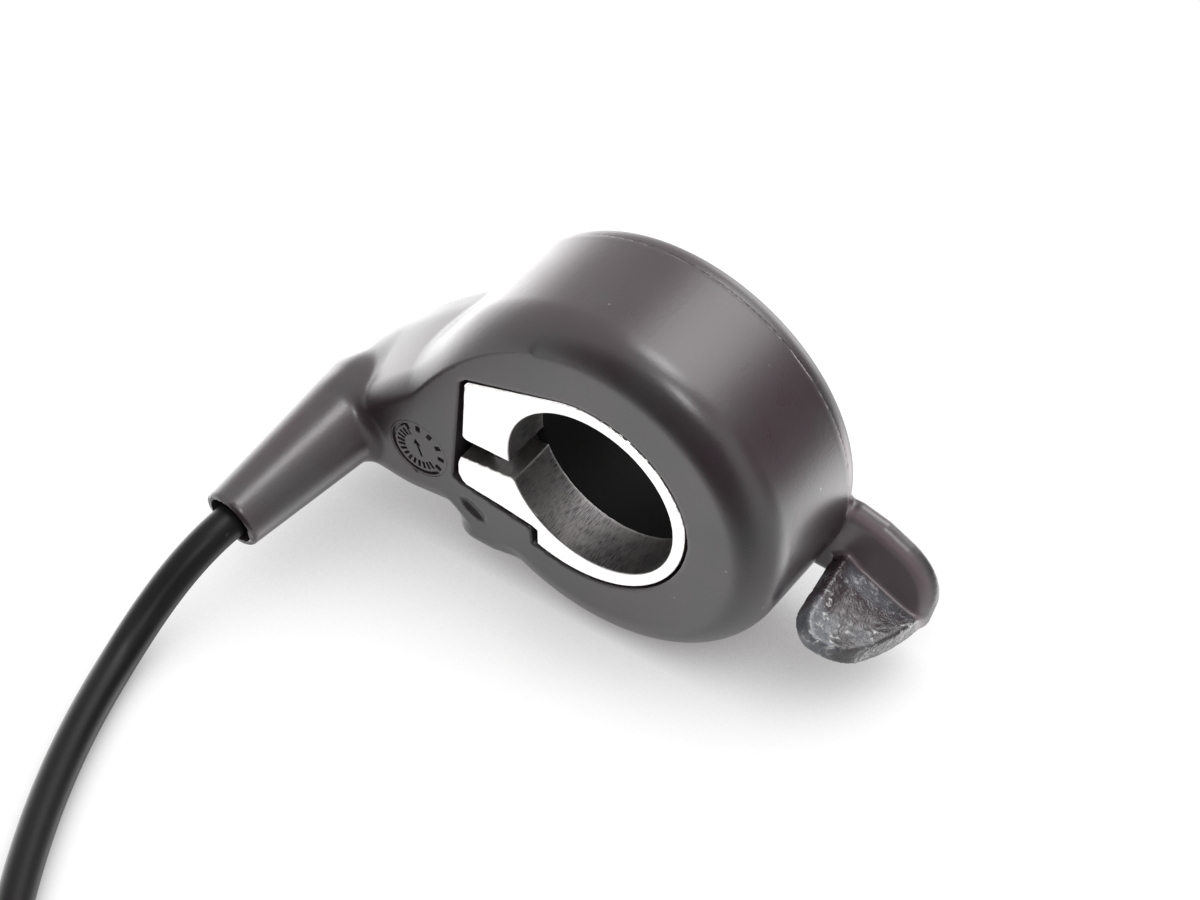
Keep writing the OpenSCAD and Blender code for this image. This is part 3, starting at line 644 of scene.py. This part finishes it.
def clamp_field(x, y, z):
    ring = both(ring_outline(x, z, 0, 0), -polygon(x, z, HEEL))
    outline = either(ring, rounded_polygon(x, z, UPPER_EAR, 0.35))
    outline = either(outline, rounded_polygon(x, z, LOWER_EAR, 0.3))
    solid = round_meet(outline, band(y, 0, CLAMP_DEPTH), 0.12)
    solid = cut(solid, polygon(x, z, SPLIT), 0.15)
    solid = cut(solid, np.hypot(x, z) - BORE_R, 0.22)
    off_screw = np.hypot(x - SCREW_X, y - SCREW_Y)
    solid = cut(solid, both(off_screw - HEAD_WAY_R, z - screw_low[2] - 3.0))
    return cut(solid, both(off_screw - 1.55, z - 6))


# ---- housing
RIDGE_CENTRE = (46.8, -76.3)   # the neck's ridge is an arc of this centre and radius
RIDGE_R = 110.0
NECK_SLOPE = 0.36              # fall of the neck's top from its ridge to its face


def drum_field(x, y, z):
    wall = np.hypot(x, z) - DRUM_R
    return round_meet(round_meet(wall, -y, SHOULDER_R), y - DRUM_DEPTH, 0.3)


def neck_field(x, y, z):
    near_drum = smooth(-38.6, -32.0, x)
    top = np.hypot(x - RIDGE_CENTRE[0], z - RIDGE_CENTRE[1]) - RIDGE_R
    top = (top + NECK_SLOPE * ramp(9 - y) * near_drum) * 0.95
    outline = round_meet(top, NECK_END[0] - 6 - x, 5)
    sag = 0.3 + 1.3 * smooth(-33, -25, x)
    outline = round_meet(outline, NECK_END[1] - 5.8 - sag + 0.14 * (x - NECK_END[0]) - z, 5)
    outline = both(outline, x + 10)
    front_r = 1.9 + 1.5 * smooth(-8, -12, z)
    return round_meet(round_meet(outline, -y, front_r), y - NECK_DEPTH, 1.2)


def neck_outline(x, z):
    """The neck's outline where it is highest."""
    return neck_field(x, np.full(x.shape, 9.0), z)


def nozzle_field(x, y, z):
    lifted = unit(NOZZLE_ROOT - NOZZLE_TIP + NOZZLE_LIFT)
    along, off = about(x, y, z, NOZZLE_TIP, lifted)
    return round_meet(round_meet(off - NOZZLE_TIP_R - NOZZLE_TAPER * along, -along, 0.5),
                      along - NOZZLE_LENGTH - 4, 4)


def boss_field(x, y, z):
    sideways = x - SCREW_X - np.clip(x - SCREW_X, -2.2, 0)
    return round_meet(np.hypot(sideways, y - SCREW_Y - 0.4) - 3.9, band(z, -19.3, -10), 1.8)


def inside_outline(x, z, wall):
    """The neck's inside, a given wall in from its outside."""
    r = 6 - wall
    points = [(-21, 7.6 - wall), (-24.5, 6.6 - wall), (-31.5, 0.2 - wall)]
    points += arc(NECK_END, r, 125, 270, 8) + [(-28, wall - 16.4), (-21, wall - 15.4)]
    return polygon(x, z, points)


def journal_field(x, y, z):
    off = np.hypot(x, z)
    tube = round_meet(band(off, JOURNAL_BORE_R, JOURNAL_R), band(y, CLAMP_DEPTH, JOURNAL_END), 0.2)
    groove = both(JOURNAL_R - 0.7 - off, band(y, CLIP_Y - 0.05, CLIP_END + 0.1))
    return cut(tube, groove, 0.05)


def ribs_field(x, y, z):
    """The two stops that the lever's magnet carrier runs between."""
    off = np.hypot(x, z)
    ring = both(band(off, 17.6, CHAMBER_R + 0.5), band(y, CHAMBER_Y - 0.5, DRUM_DEPTH - 0.6))
    rib_half, slack = 2.5, 0.6
    low = CARRIER_ANGLE + CARRIER_HALF + slack + rib_half
    high = CARRIER_ANGLE - LEVER_TRAVEL - CARRIER_HALF - slack - rib_half
    return both(ring, either(sector(x, z, low, rib_half), sector(x, z, high, rib_half)))


def spring_hole(x, y, z, angle, low, high):
    """A hole along the handlebar for one leg of the spring."""
    leg_x, leg_z = polar(SPRING_R, angle)
    return both(np.hypot(x - leg_x, z - leg_z) - SPRING_HOLE_R, band(y, low, high))


def posts_field(x, y, z):
    posts = np.full(x.shape, np.inf)
    for px, pz, start in COVER_SCREWS:
        off = np.hypot(x - px, z - pz)
        post = both(off - 1.8, band(y, start, COVER_SEAT))
        posts = either(posts, cut(post, both(off - 0.95, COVER_SEAT - 5.5 - y), 0.1))
    return posts


DIAL = (-24.0, -7.5)           # centre of the moulding date dial on the neck's face
DIAL_R = 4.05
DIAL_DRAWN_R = 3.55            # the radius that the dial's marks are drawn for
DIAL_TICKS = 24


def dial_field(x, y, z):
    """A plain round insert with a border, a ring of tick marks and a pointer, all without figures."""
    scale = DIAL_DRAWN_R / DIAL_R
    u, v = (x - DIAL[0]) * scale, (z - DIAL[1]) * scale
    off, angle = np.hypot(u, v), np.arctan2(v, u)

    def from_spoke(count):
        turn = 2 * math.pi / count
        return np.abs(angle / turn - np.round(angle / turn)) * turn * off

    upper = 0.6 - u - 0.9 * v
    ticks = round_meet(from_spoke(DIAL_TICKS) - 0.15, band(off, 1.75, 2.65), 0.05)
    blocks = round_meet(from_spoke(DIAL_TICKS / 2) - 0.28, band(off, 2.4, 3.15), 0.1)
    shaft = round_meet(np.abs(u + 0.35 * v) - 0.14, band(v, -1.0, 0.9), 0.05)
    head = round_meet(np.abs(u + 0.35 * v) - 0.45 + 0.6 * (v - 0.4), band(v, 0.4, 1.15), 0.05)
    border = np.abs(off - 3.13) - 0.2
    marks = either(both(either(ticks, border), -upper), both(blocks, upper))
    marks = either(marks, either(shaft, head))
    solid = round_meet(off - DIAL_DRAWN_R, band(y, 0.03, 0.9), 0.08)
    return cut(solid, both(marks, y - 0.33), 0.05)


def clamp_pocket(x, y, z):
    outline = both(ring_outline(x, z, FIT, 0.4), -polygon(x, z, POCKET_HEEL))
    outline = either(outline, rounded_polygon(x, z, POCKET, 0.3))
    return both(outline, y - CLAMP_DEPTH)


def neck_cavity(x, y, z, neck):
    """The space for the board and the resin."""
    cavity = both(inside_outline(x, z, 2), both(2 - y, DRUM_R + 0.9 - np.hypot(x, z)))
    return both(cavity, both(neck, y - COVER_SEAT) + 1.7)


def cover_seat(x, y, z):
    """The step that the neck's cover sits in."""
    seat = both(inside_outline(x, z, 1), both(COVER_SEAT - y, DRUM_R + 0.2 - np.hypot(x, z)))
    return both(seat, neck_outline(x, z) + 1.25)


def sensor_slot(x, y, z):
    out, across = turned(x, z, SENSOR_ANGLE)
    slot = both(band(across, -2.15, 2.15), band(y, 6.4, 11.1))
    return both(slot, band(out, SENSOR_R - FIT, SENSOR_R + 5.9))


def cable_way(x, y, z):
    """The cable's hole, wider at the nozzle's mouth."""
    along, off = about(x, y, z, NOZZLE_TIP, -NOZZLE_DIR)
    return both(off - 2.2 - 0.85 * smooth(3.6, 2.0, along), along - NOZZLE_LENGTH - 6)


def dimple_field(x, y, z):
    """A shallow oval dimple on the face, beside the screw boss."""
    u, v = (x + 16.4) * 0.85 - (z + 13) * 0.53, (x + 16.4) * 0.53 + (z + 13) * 0.85
    return (np.sqrt((u / 1.9) ** 2 + (v / 0.85) ** 2 + (y / 0.38) ** 2) - 1) * 0.5


def housing_field(x, y, z):
    off = np.hypot(x, z)
    neck = neck_field(x, y, z)
    solid = round_join(drum_field(x, y, z), neck, 3.4 - 2.7 * smooth(4, 11, y))
    solid = round_join(solid, boss_field(x, y, z), 1.6)
    solid = both(solid, -y)
    solid = round_join(solid, nozzle_field(x, y, z), 1.4)
    solid = cut(solid, clamp_pocket(x, y, z), 0.2)
    solid = cut(solid, off - JOURNAL_R + 0.5, 0.1)
    solid = cut(solid, both(off - CHAMBER_R, CHAMBER_Y - y), 0.2)
    solid = cut(solid, neck_cavity(x, y, z, neck), 0.15)
    solid = cut(solid, cover_seat(x, y, z), 0.15)
    solid = cut(solid, sensor_slot(x, y, z), 0.1)
    solid = cut(solid, cable_way(x, y, z), 0.22)
    solid = cut(solid, both(np.hypot(x - SCREW_X, y - SCREW_Y) - HEAD_WAY_R, z + 6), 0.25)
    solid = cut(solid, spring_hole(x, y, z, SPRING_START, CHAMBER_Y - 2, CHAMBER_Y + 1), 0.1)
    solid = cut(solid, dimple_field(x, y, z), 0.1)
    solid = either(solid, journal_field(x, y, z))
    solid = cut(solid, both(np.hypot(x - DIAL[0], z - DIAL[1]) - DIAL_R + 0.03, y - 0.6), 0.06)
    posts = both(posts_field(x, y, z), neck + 0.8)
    return either(either(solid, ribs_field(x, y, z)), posts)


# ---- lever
PAD_TOP = 1.1                  # half of the pad's thickness
PAD_DRAFT = 0.42               # how far the pad's edge spreads per millimetre down
PAD_FRONT = 5.05               # place of the pad's front edge along Y
ARM = ([(18.2, 7.6), (20.7, 6.5), (22.9, 7.6), (26.5, 8.35)] + arc((29.7, 1.2), 7.1, 86, 8, 11)
       + [(37.4, -0.8)] + arc((34, -1.6), 3.3, 0, -95, 6) + [(25, -5.6), (20.5, -7.6), (18.2, -8.6)])


def pad_field(s, u, y):
    """The thumb pad: s runs out along the pad, u up from it."""
    rim = np.hypot(s - 14.3, y - 19.2) - 22
    inner = -(s - 25.4) * 0.992 - (y - 16.3) * 0.129

    def plan_grown(by):
        return round_meet(round_meet(rim - by, inner - by, 1.0), PAD_FRONT - y, 3.2)

    outline = both(plan_grown(PAD_DRAFT * (PAD_TOP - u)) * 0.93, y - DISC_Y - 1)
    plan = plan_grown(0)
    dished = PAD_TOP - 0.4 * smooth(0.1, 2.6, -plan)
    return round_meet(round_meet(outline, u - dished, 0.4), -PAD_TOP - u, 0.35)


def lever_field(x, y, z):
    off = np.hypot(x, z)
    out, up = turned(x, z, -REST_ANGLE)
    plate = round_meet(off - DISC_R, y - DISC_BACK, 2.6)
    arm = round_meet(polygon(out, up, ARM), DISC_Y - y, 1.9)
    arm = round_meet(arm, y - DISC_Y - 2.3, 0.7)
    solid = round_join(plate, arm, 0.8)
    solid = both(solid, DISC_Y - y)
    solid = round_join(solid, pad_field(out, up, y), 0.55)
    solid = either(solid, both(off - HUB_R, band(y, HUB_Y, DISC_Y + 0.5)))
    carrier = both(band(off, HUB_R - 1, CHAMBER_R - 0.4), band(y, 9.4, DISC_Y + 0.5))
    solid = either(solid, both(carrier, sector(x, z, CARRIER_ANGLE, CARRIER_HALF)))
    solid = cut(solid, both(off - JOURNAL_R - 0.05, y - DISC_BACK - 1), 0.15)
    solid = cut(solid, both(off - SPRING_R - 1, y - HUB_Y), 0.1)
    for side in (-1, 1):
        radial, across = turned(x, z, CARRIER_ANGLE + side * 21)
        hole = both(CHAMBER_R - 2.7 - radial, both(np.abs(across) - 2.6, band(y, 9.9, 14.1)))
        solid = cut(solid, both(hole, -radial), 0.1)
    return cut(solid, spring_hole(x, y, z, SPRING_END, HUB_Y - 1, HUB_Y + 2), 0.1)


# ---- small rings and the cover
def washer_field(x, y, z):
    flat = band(np.hypot(x, z), JOURNAL_R + 0.15, JOURNAL_R + 4)
    return round_meet(flat, band(y, washer_low[1], washer_high[1]), 0.12)


def clip_field(x, y, z):
    off = np.hypot(x, z)
    inner_r = JOURNAL_R - 0.6
    flat = band(off, inner_r, JOURNAL_R + 1.4)
    holes = np.full(x.shape, np.inf)
    for angle in (78, 102):
        out, across = turned(x, z, angle)
        eye = np.hypot(out - JOURNAL_R - 1.9, across) - 1.9
        flat = either(flat, both(eye, inner_r - off))
        holes = either(holes, np.hypot(out - JOURNAL_R - 2.1, across) - 0.8)
    flat = cut(cut(flat, sector(x, z, 90, 6), 0.1), holes, 0.1)
    return round_meet(flat, band(y, CLIP_Y, CLIP_END), 0.1)


def cover_field(x, y, z):
    flat = both(inside_outline(x, z, 1.1), neck_outline(x, z) + 1.35)
    flat = round_meet(flat, DRUM_R + 0.3 - np.hypot(x, z), 0.4)
    solid = round_meet(flat, band(y, COVER_SEAT, NECK_DEPTH), 0.25)
    for px, pz, _ in COVER_SCREWS:
        off = np.hypot(x - px, z - pz)
        solid = cut(cut(solid, off - 1.2, 0.05), both(off - 2.0, NECK_DEPTH - 0.8 - y), 0.12)
    return solid


GROW = 0.5                     # room left round a CAD node's box
FIELD_PIECES = (               # piece, CAD node, body, field, grid cell, crease angle
    ("housing_shell", "housing", "base", housing_field, 0.39, CREASE),
    ("split_clamp", "bar_clamp", "base", clamp_field, 0.2, 30),
    ("thumb_lever_moulding", "lever", "thumb_lever", lever_field, 0.27, CREASE),
    ("slip_washer", "thrust_washer", "base", washer_field, 0.22, CREASE),
    ("circlip", "retaining_clip", "base", clip_field, 0.18, CREASE),
    ("neck_back_cover", "neck_cover", "base", cover_field, 0.22, CREASE))
for name, node, body, field, cell, crease in FIELD_PIECES:
    low, high = box_mm(node)
    riding_piece(name, node, body, *meshed(field, low - GROW, high + GROW, cell), crease)

dial_middle = np.array([DIAL[0], 0.45, DIAL[1]])
dial_reach = np.array([DIAL_R + 0.3, 0.8, DIAL_R + 0.3])
dial = new_piece("date_dial", *meshed(dial_field, dial_middle - dial_reach, dial_middle + dial_reach, 0.1),
                 "housing_plastic")
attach(dial, "base")


# ---- swept pieces
def bezier(p, count):
    t = np.linspace(0, 1, count + 1)[1:, None]
    return (1 - t) ** 3 * p[0] + 3 * (1 - t) ** 2 * t * p[1] + 3 * (1 - t) * t * t * p[2] + t ** 3 * p[3]


def resampled(path, spacing):
    """The path with even spacing, after each point is drawn twice towards its neighbours."""
    path = np.array(path, float)
    for _ in range(2):
        path = np.concatenate([path[:1], (path[:-2] + 2 * path[1:-1] + path[2:]) / 4, path[-1:]])
    length = np.concatenate([[0], np.cumsum(np.linalg.norm(np.diff(path, axis=0), axis=1))])
    at = np.linspace(0, length[-1], int(length[-1] / spacing) + 2)
    return np.stack([np.interp(at, length, path[:, a]) for a in range(3)], 1)


def frames(path, up):
    """Two directions across a path at each of its points."""
    tangent = np.gradient(path, axis=0)
    tangent /= np.linalg.norm(tangent, axis=1)[:, None]
    side = np.cross(tangent, up)
    side /= np.linalg.norm(side, axis=1)[:, None]
    return side, np.cross(side, tangent)


TUBE_UP = (0.3, -0.1, 0.95)    # a direction that no swept path runs along


def tube(path, outline, bore=None, up=TUBE_UP):
    """A solid swept along a path. outline is (radius at each angle), and bore a radius of its hole."""
    side, over = frames(path, unit(up))
    count = len(outline)
    angles = np.linspace(0, 2 * math.pi, count, endpoint=False)
    rings = []
    for radius in (outline,) if bore is None else (outline, np.full(count, bore)):
        ring = (radius * np.cos(angles))[None, :, None] * side[:, None] \
            + (radius * np.sin(angles))[None, :, None] * over[:, None]
        rings.append((path[:, None] + ring).reshape(-1, 3))
    vertices, faces = np.concatenate(rings), []
    length, outer = len(path), len(path) * count
    for i in range(length - 1):
        for k in range(count):
            a, b = i * count + k, i * count + (k + 1) % count
            faces.append((a, b, b + count, a + count))
            if bore is not None:
                faces.append((outer + a, outer + a + count, outer + b + count, outer + b))
    for i, order in ((0, -1), (length - 1, 1)):
        ring = [i * count + k for k in range(count)]
        if bore is None:
            faces.append(tuple(ring[::order]))
        else:
            for k in range(count):
                a, b = ring[k], ring[(k + 1) % count]
                quad = (a, b, outer + b, outer + a)
                faces.append(quad[::order])
    return vertices, faces


CABLE_Z = BENCH_Z + CABLE_R
BEND = np.array([-39, -39.3, CABLE_Z])  # where the hanging cable reaches the bench
BEND_DIR = unit([0.255, -0.967, 0])
FAR = np.array([-25.2, -71.1, CABLE_Z])
FAR_DIR = unit([0.517, -0.856, 0])
PLUG_DIR = unit([0.506, -0.862, 0])
PLUG_R = 4.6
PLUG_BACK = np.array([-19.2, -81.3, BENCH_Z + PLUG_R])
PLUG_LENGTH = 19.0
CABLE_START = NOZZLE_ROOT - 1.5 * NOZZLE_DIR
CABLE_PATH = np.concatenate([
    [CABLE_START, NOZZLE_ROOT, NOZZLE_ROOT + 9 * NOZZLE_DIR, NOZZLE_TIP],
    bezier([NOZZLE_TIP, NOZZLE_TIP + 8 * NOZZLE_DIR, BEND - 10 * BEND_DIR, BEND], 30),
    bezier([BEND, BEND + 11.8 * BEND_DIR, FAR - 11.8 * FAR_DIR, FAR], 34),
    bezier([FAR, FAR + 4.5 * FAR_DIR, PLUG_BACK - 4.5 * PLUG_DIR, PLUG_BACK], 16),
    [PLUG_BACK + 4 * PLUG_DIR]])


SPACING = 0.6                  # distance between the rings of a swept tube
vertices, faces = tube(resampled(CABLE_PATH, SPACING), np.full(40, CABLE_R), 1.45)
riding_piece("cable", "cable_jacket", "base", vertices, faces, SWEPT_CREASE)

# each wire's angle round the cable's axis, and the place of its pad across the board
BOARD_PADS = {"wire_red": (90, -0.2), "wire_black": (210, 1.45), "wire_green": (330, 3.1)}
WIRE_PAD_R = 28.5
CORE_R = 0.6
CORE_OFF = 0.75                # distance of each wire from the cable's axis
BOARD_TOP = 6.01
for node, (angle, across) in BOARD_PADS.items():
    pad_x, pad_z = turned(WIRE_PAD_R, across, -SENSOR_ANGLE)
    pad = np.array([pad_x, BOARD_TOP, pad_z])
    rise = pad + [0, 0.9, 0]
    entry = CABLE_START - 1.2 * NOZZLE_DIR
    lead_in = bezier([rise, rise + [0, 1.1, -1], entry - 2.2 * NOZZLE_DIR, entry], 10)
    path = np.concatenate([[pad, rise], lead_in, CABLE_PATH, [PLUG_BACK + 8 * PLUG_DIR]])
    path = resampled(path, SPACING)
    side, over = frames(path, unit(TUBE_UP))
    aside, above = polar(CORE_OFF, angle)
    path = path + aside * side + above * over
    riding_piece(node + "_core", node, "base", *tube(path, np.full(14, CORE_R)), SWEPT_CREASE)


def spring_path():
    """A coil with one leg along the handlebar at each end."""
    low, high = CHAMBER_Y + 1.1, HUB_Y - 1.1
    swept = 360 * (SPRING_TURNS + (SPRING_END - SPRING_START) / 360)
    angles = np.radians(SPRING_START + swept * np.linspace(0, 1, 40 * SPRING_TURNS + 1))
    rise = np.linspace(low, high, len(angles))
    coil = np.stack([SPRING_R * np.cos(angles), rise, SPRING_R * np.sin(angles)], 1)[2:-2]

    def leg(angle, places):
        leg_x, leg_z = polar(SPRING_R, angle)
        return [[leg_x, y, leg_z] for y in places]

    first = leg(SPRING_START, (CHAMBER_Y - 1.6, CHAMBER_Y - 0.4, low - 1.0, low - 0.6, low - 0.25))
    last = leg(SPRING_START + swept, (high + 0.25, high + 0.6, high + 1.0, HUB_Y + 0.6, HUB_Y + 1.6))
    return np.concatenate([first, coil, last])


vertices, faces = tube(resampled(spring_path(), 0.45), np.full(16, WIRE_R), up=(0.31, 0.2, 0.93))
spring = new_piece("torsion_spring", vertices, faces, SLOTS["return_spring"], SWEPT_CREASE)
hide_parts("return_spring")
fixed_end, turning_end = (0, (CHAMBER_Y + 0.6) * MM, 0), (0, (HUB_Y - 0.6) * MM, 0)
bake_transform(spring)
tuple(fixed_end)
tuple(turning_end)


# ---- plug
def in_plug(shape):
    """A field of (distance along the plug, distance from its axis, angle round it) as one of x, y, z."""
    across = np.array([-PLUG_DIR[1], PLUG_DIR[0], 0.0])

    def field(x, y, z):
        along, off = about(x, y, z, PLUG_BACK, PLUG_DIR)
        sideways = (x - PLUG_BACK[0]) * across[0] + (y - PLUG_BACK[1]) * across[1]
        return shape(along, off, np.arctan2(z - PLUG_BACK[2], sideways))
    return field


def shell_shape(along, off, _):
    body = np.where(along < 8, 2.9 + along / 8, 3.9)
    solid = round_meet(off - body, band(along, 0, PLUG_LENGTH), 0.3)
    for k in range(4):
        rib = round_meet(off - 3.5 - 0.12 * k, np.abs(along - 1.6 - 1.7 * k) - 0.4, 0.25)
        solid = round_join(solid, rib, 0.15)
    solid = cut(solid, both(off - CABLE_R - 0.03, along - 4), 0.1)
    solid = cut(solid, both(off - 1.6, band(along, 3, 9)), 0.1)
    return cut(solid, both(off - 3.05, 8.5 - along), 0.2)


def nut_shape(along, off, angle):
    ridge = 0.2 * np.abs(np.cos(angle * 9))
    grip = smooth(11.4, 12.0, along) * (1 - smooth(PLUG_LENGTH - 1.0, PLUG_LENGTH - 0.5, along))
    solid = round_meet(off - PLUG_R + 0.2 - ridge * grip, band(along, 11, PLUG_LENGTH), 0.2)
    return cut(solid, off - 3.95, 0.2)


plug_middle = PLUG_BACK + PLUG_DIR * PLUG_LENGTH / 2
reach = np.abs(PLUG_DIR) * PLUG_LENGTH / 2 + 6
for name, node, shape in (("plug_shell", "connector_shell", shell_shape),
                          ("plug_nut", "connector_nut", nut_shape)):
    mesh = meshed(in_plug(shape), plug_middle - reach, plug_middle + reach, 0.21)
    riding_piece(name, node, "base", *mesh, CREASE)


# ---- CAD nodes that stay
for name, node in frame["nodes"].items():
    if node.hide_render:
        continue
    node.data.materials.clear()
    node.data.materials.append(FINISHES[SLOTS[name]])
    weld = node.modifiers.new("weld", "WELD")
    weld.merge_threshold = 0.000002
    bevel = node.modifiers.new("bevel", "BEVEL")
    bevel.width = 0.00008
    bevel.segments = 2
    bevel.limit_method = "ANGLE"
    bevel.angle_limit = math.radians(40)


# ---- stage, light and camera
LOWER_FLOOR_Z = lever_low[2] - 22.0  # below the pad when the lever is fully pressed
VIEW_GLOW = 1.12               # brightness of the plain floor that the camera sees
LIGHTS = (                     # towards, extra brightness, inner and outer angle
    ((0.2, 0.5, 0.84), 4.0, 5, 30),
    ((0.16, 0.12, 0.98), 9.5, 3, 16),
    ((0.38, -0.48, 0.79), 5.5, 2, 14),
    ((-0.93, 0.3, -0.38), 3.1, 12, 42),
    ((0.05, 0.99, 0.05), 2.6, 8, 28),
    ((-0.52, -0.46, -0.72), 0.7, 6, 30),
    ((0.5, 0.56, -0.66), 3.2, 6, 32))
SHADES = (                     # towards, share of light lost, inner and outer angle
    ((0.86, 0.48, 0.12), 0.88, 12, 34),
    ((0.2, -0.93, 0.12), 0.95, 34, 57),
    ((0.2, 0.5, -0.84), 0.6, 3, 16))


def environment(nodes, direction):
    """Brightness of a soft white studio in a direction, above the floor and off it."""
    def glow(towards, inner, outer):
        cosine = nodes.vector("DOT_PRODUCT", direction, tuple(unit(towards)))
        return nodes.step(cosine, math.cos(math.radians(outer)), math.cos(math.radians(inner)))
    light = VIEW_GLOW
    for towards, gain, inner, outer in LIGHTS:
        light = nodes.math("MULTIPLY_ADD", glow(towards, inner, outer), gain, light)
    for towards, loss, inner, outer in SHADES:
        kept = nodes.math("MULTIPLY_ADD", glow(towards, inner, outer), -loss, 1.0)
        light = nodes.times(light, kept)
    seen = nodes.add("ShaderNodeLightPath").outputs["Is Camera Ray"]
    plain = nodes.times(seen, VIEW_GLOW)
    return nodes.math("MULTIPLY_ADD", light, nodes.math("SUBTRACT", 1.0, seen), plain)


def make_world():
    world = bpy.data.worlds.new("studio")
    scene.world = world
    world.use_nodes = True
    nodes = Nodes(world.node_tree)
    direction = nodes.add("ShaderNodeTexCoord").outputs["Generated"]
    back = nodes.add("ShaderNodeBackground")
    nodes.put(back.inputs["Strength"], environment(nodes, direction))
    back.inputs["Color"].default_value = (1.0, 0.995, 0.99, 1)
    nodes.put(nodes.add("ShaderNodeOutputWorld").inputs["Surface"], back.outputs[0])


def plane(name, half, z, material):
    mesh = bpy.data.meshes.new(name)
    corners = [(-half, -half, z), (half, -half, z), (half, half, z), (-half, half, z)]
    mesh.from_pydata(corners, [], [(0, 1, 2, 3)])
    mesh.materials.append(material)
    add_object(name, mesh)


SHADOW_TINT = (0.18, 0.17, 0.175)
SHADOW_REACH = 0.036           # how near the part has to be to shade the bench


def make_floor():
    """A pale glowing floor, and over it a clear sheet that only holds the contact shadows."""
    material, nodes, glow = new_material("pale_floor", "ShaderNodeEmission")
    away = nodes.vector("SCALE", nodes.add("ShaderNodeNewGeometry").outputs["Incoming"])
    away.node.inputs["Scale"].default_value = -1.0
    nodes.put(glow.inputs["Strength"], environment(nodes, away))
    plane("floor", 3.0, LOWER_FLOOR_Z * MM, material)

    material, nodes, clear = new_material("contact_shadow", "ShaderNodeBsdfTransparent")
    near = nodes.add("ShaderNodeAmbientOcclusion", samples=16)
    near.inputs["Distance"].default_value = SHADOW_REACH
    open_share = nodes.step(near.outputs["AO"], 0.0, 1.0)
    nodes.put(clear.inputs["Color"], nodes.mix(open_share, SHADOW_TINT, (1.0, 1.0, 1.0)))
    plane("shadow_sheet", 0.4, BENCH_Z * MM - 0.00005, material)


LAMP_WATTS = 0.3
LAMP_SIZE = 0.06
LAMP_DISTANCE = 0.5
LAMP_TOWARDS = (0.42, -0.42, 0.8)
CAMERA_AZIMUTH = 35.35
CAMERA_ELEVATION = 47.38
CAMERA_DISTANCE = 0.42712
CAMERA_TARGET = (0, 0.008, 0)
LENS = 115.42                  # for a sensor 36 mm wide


def aimed(name, data, target, towards, distance):
    """A lamp or camera at a distance from a target, looking back at it."""
    item = add_object(name, data)
    item.location = Vector(target) + towards * distance
    item.rotation_mode = "QUATERNION"
    item.rotation_quaternion = towards.to_track_quat("Z", "Y")
    return item


def make_light():
    lamp = bpy.data.lights.new("soft_key", "AREA")
    lamp.energy = LAMP_WATTS
    lamp.size = LAMP_SIZE
    aimed("soft_key", lamp, (0, 0, 0), Vector(unit(LAMP_TOWARDS)), LAMP_DISTANCE)


def make_camera():
    data = bpy.data.cameras.new("camera")
    data.sensor_width = 36.0
    data.lens = LENS
    data.shift_x = -0.0261
    data.shift_y = 0.00103
    level, rise = polar(1, CAMERA_ELEVATION)
    ahead, aside = polar(level, CAMERA_AZIMUTH)
    towards = Vector((aside, -ahead, rise))
    scene.camera = aimed("camera", data, CAMERA_TARGET, towards, CAMERA_DISTANCE)


make_world()
make_floor()
make_light()
make_camera()
scene.view_settings.view_transform = "Standard"
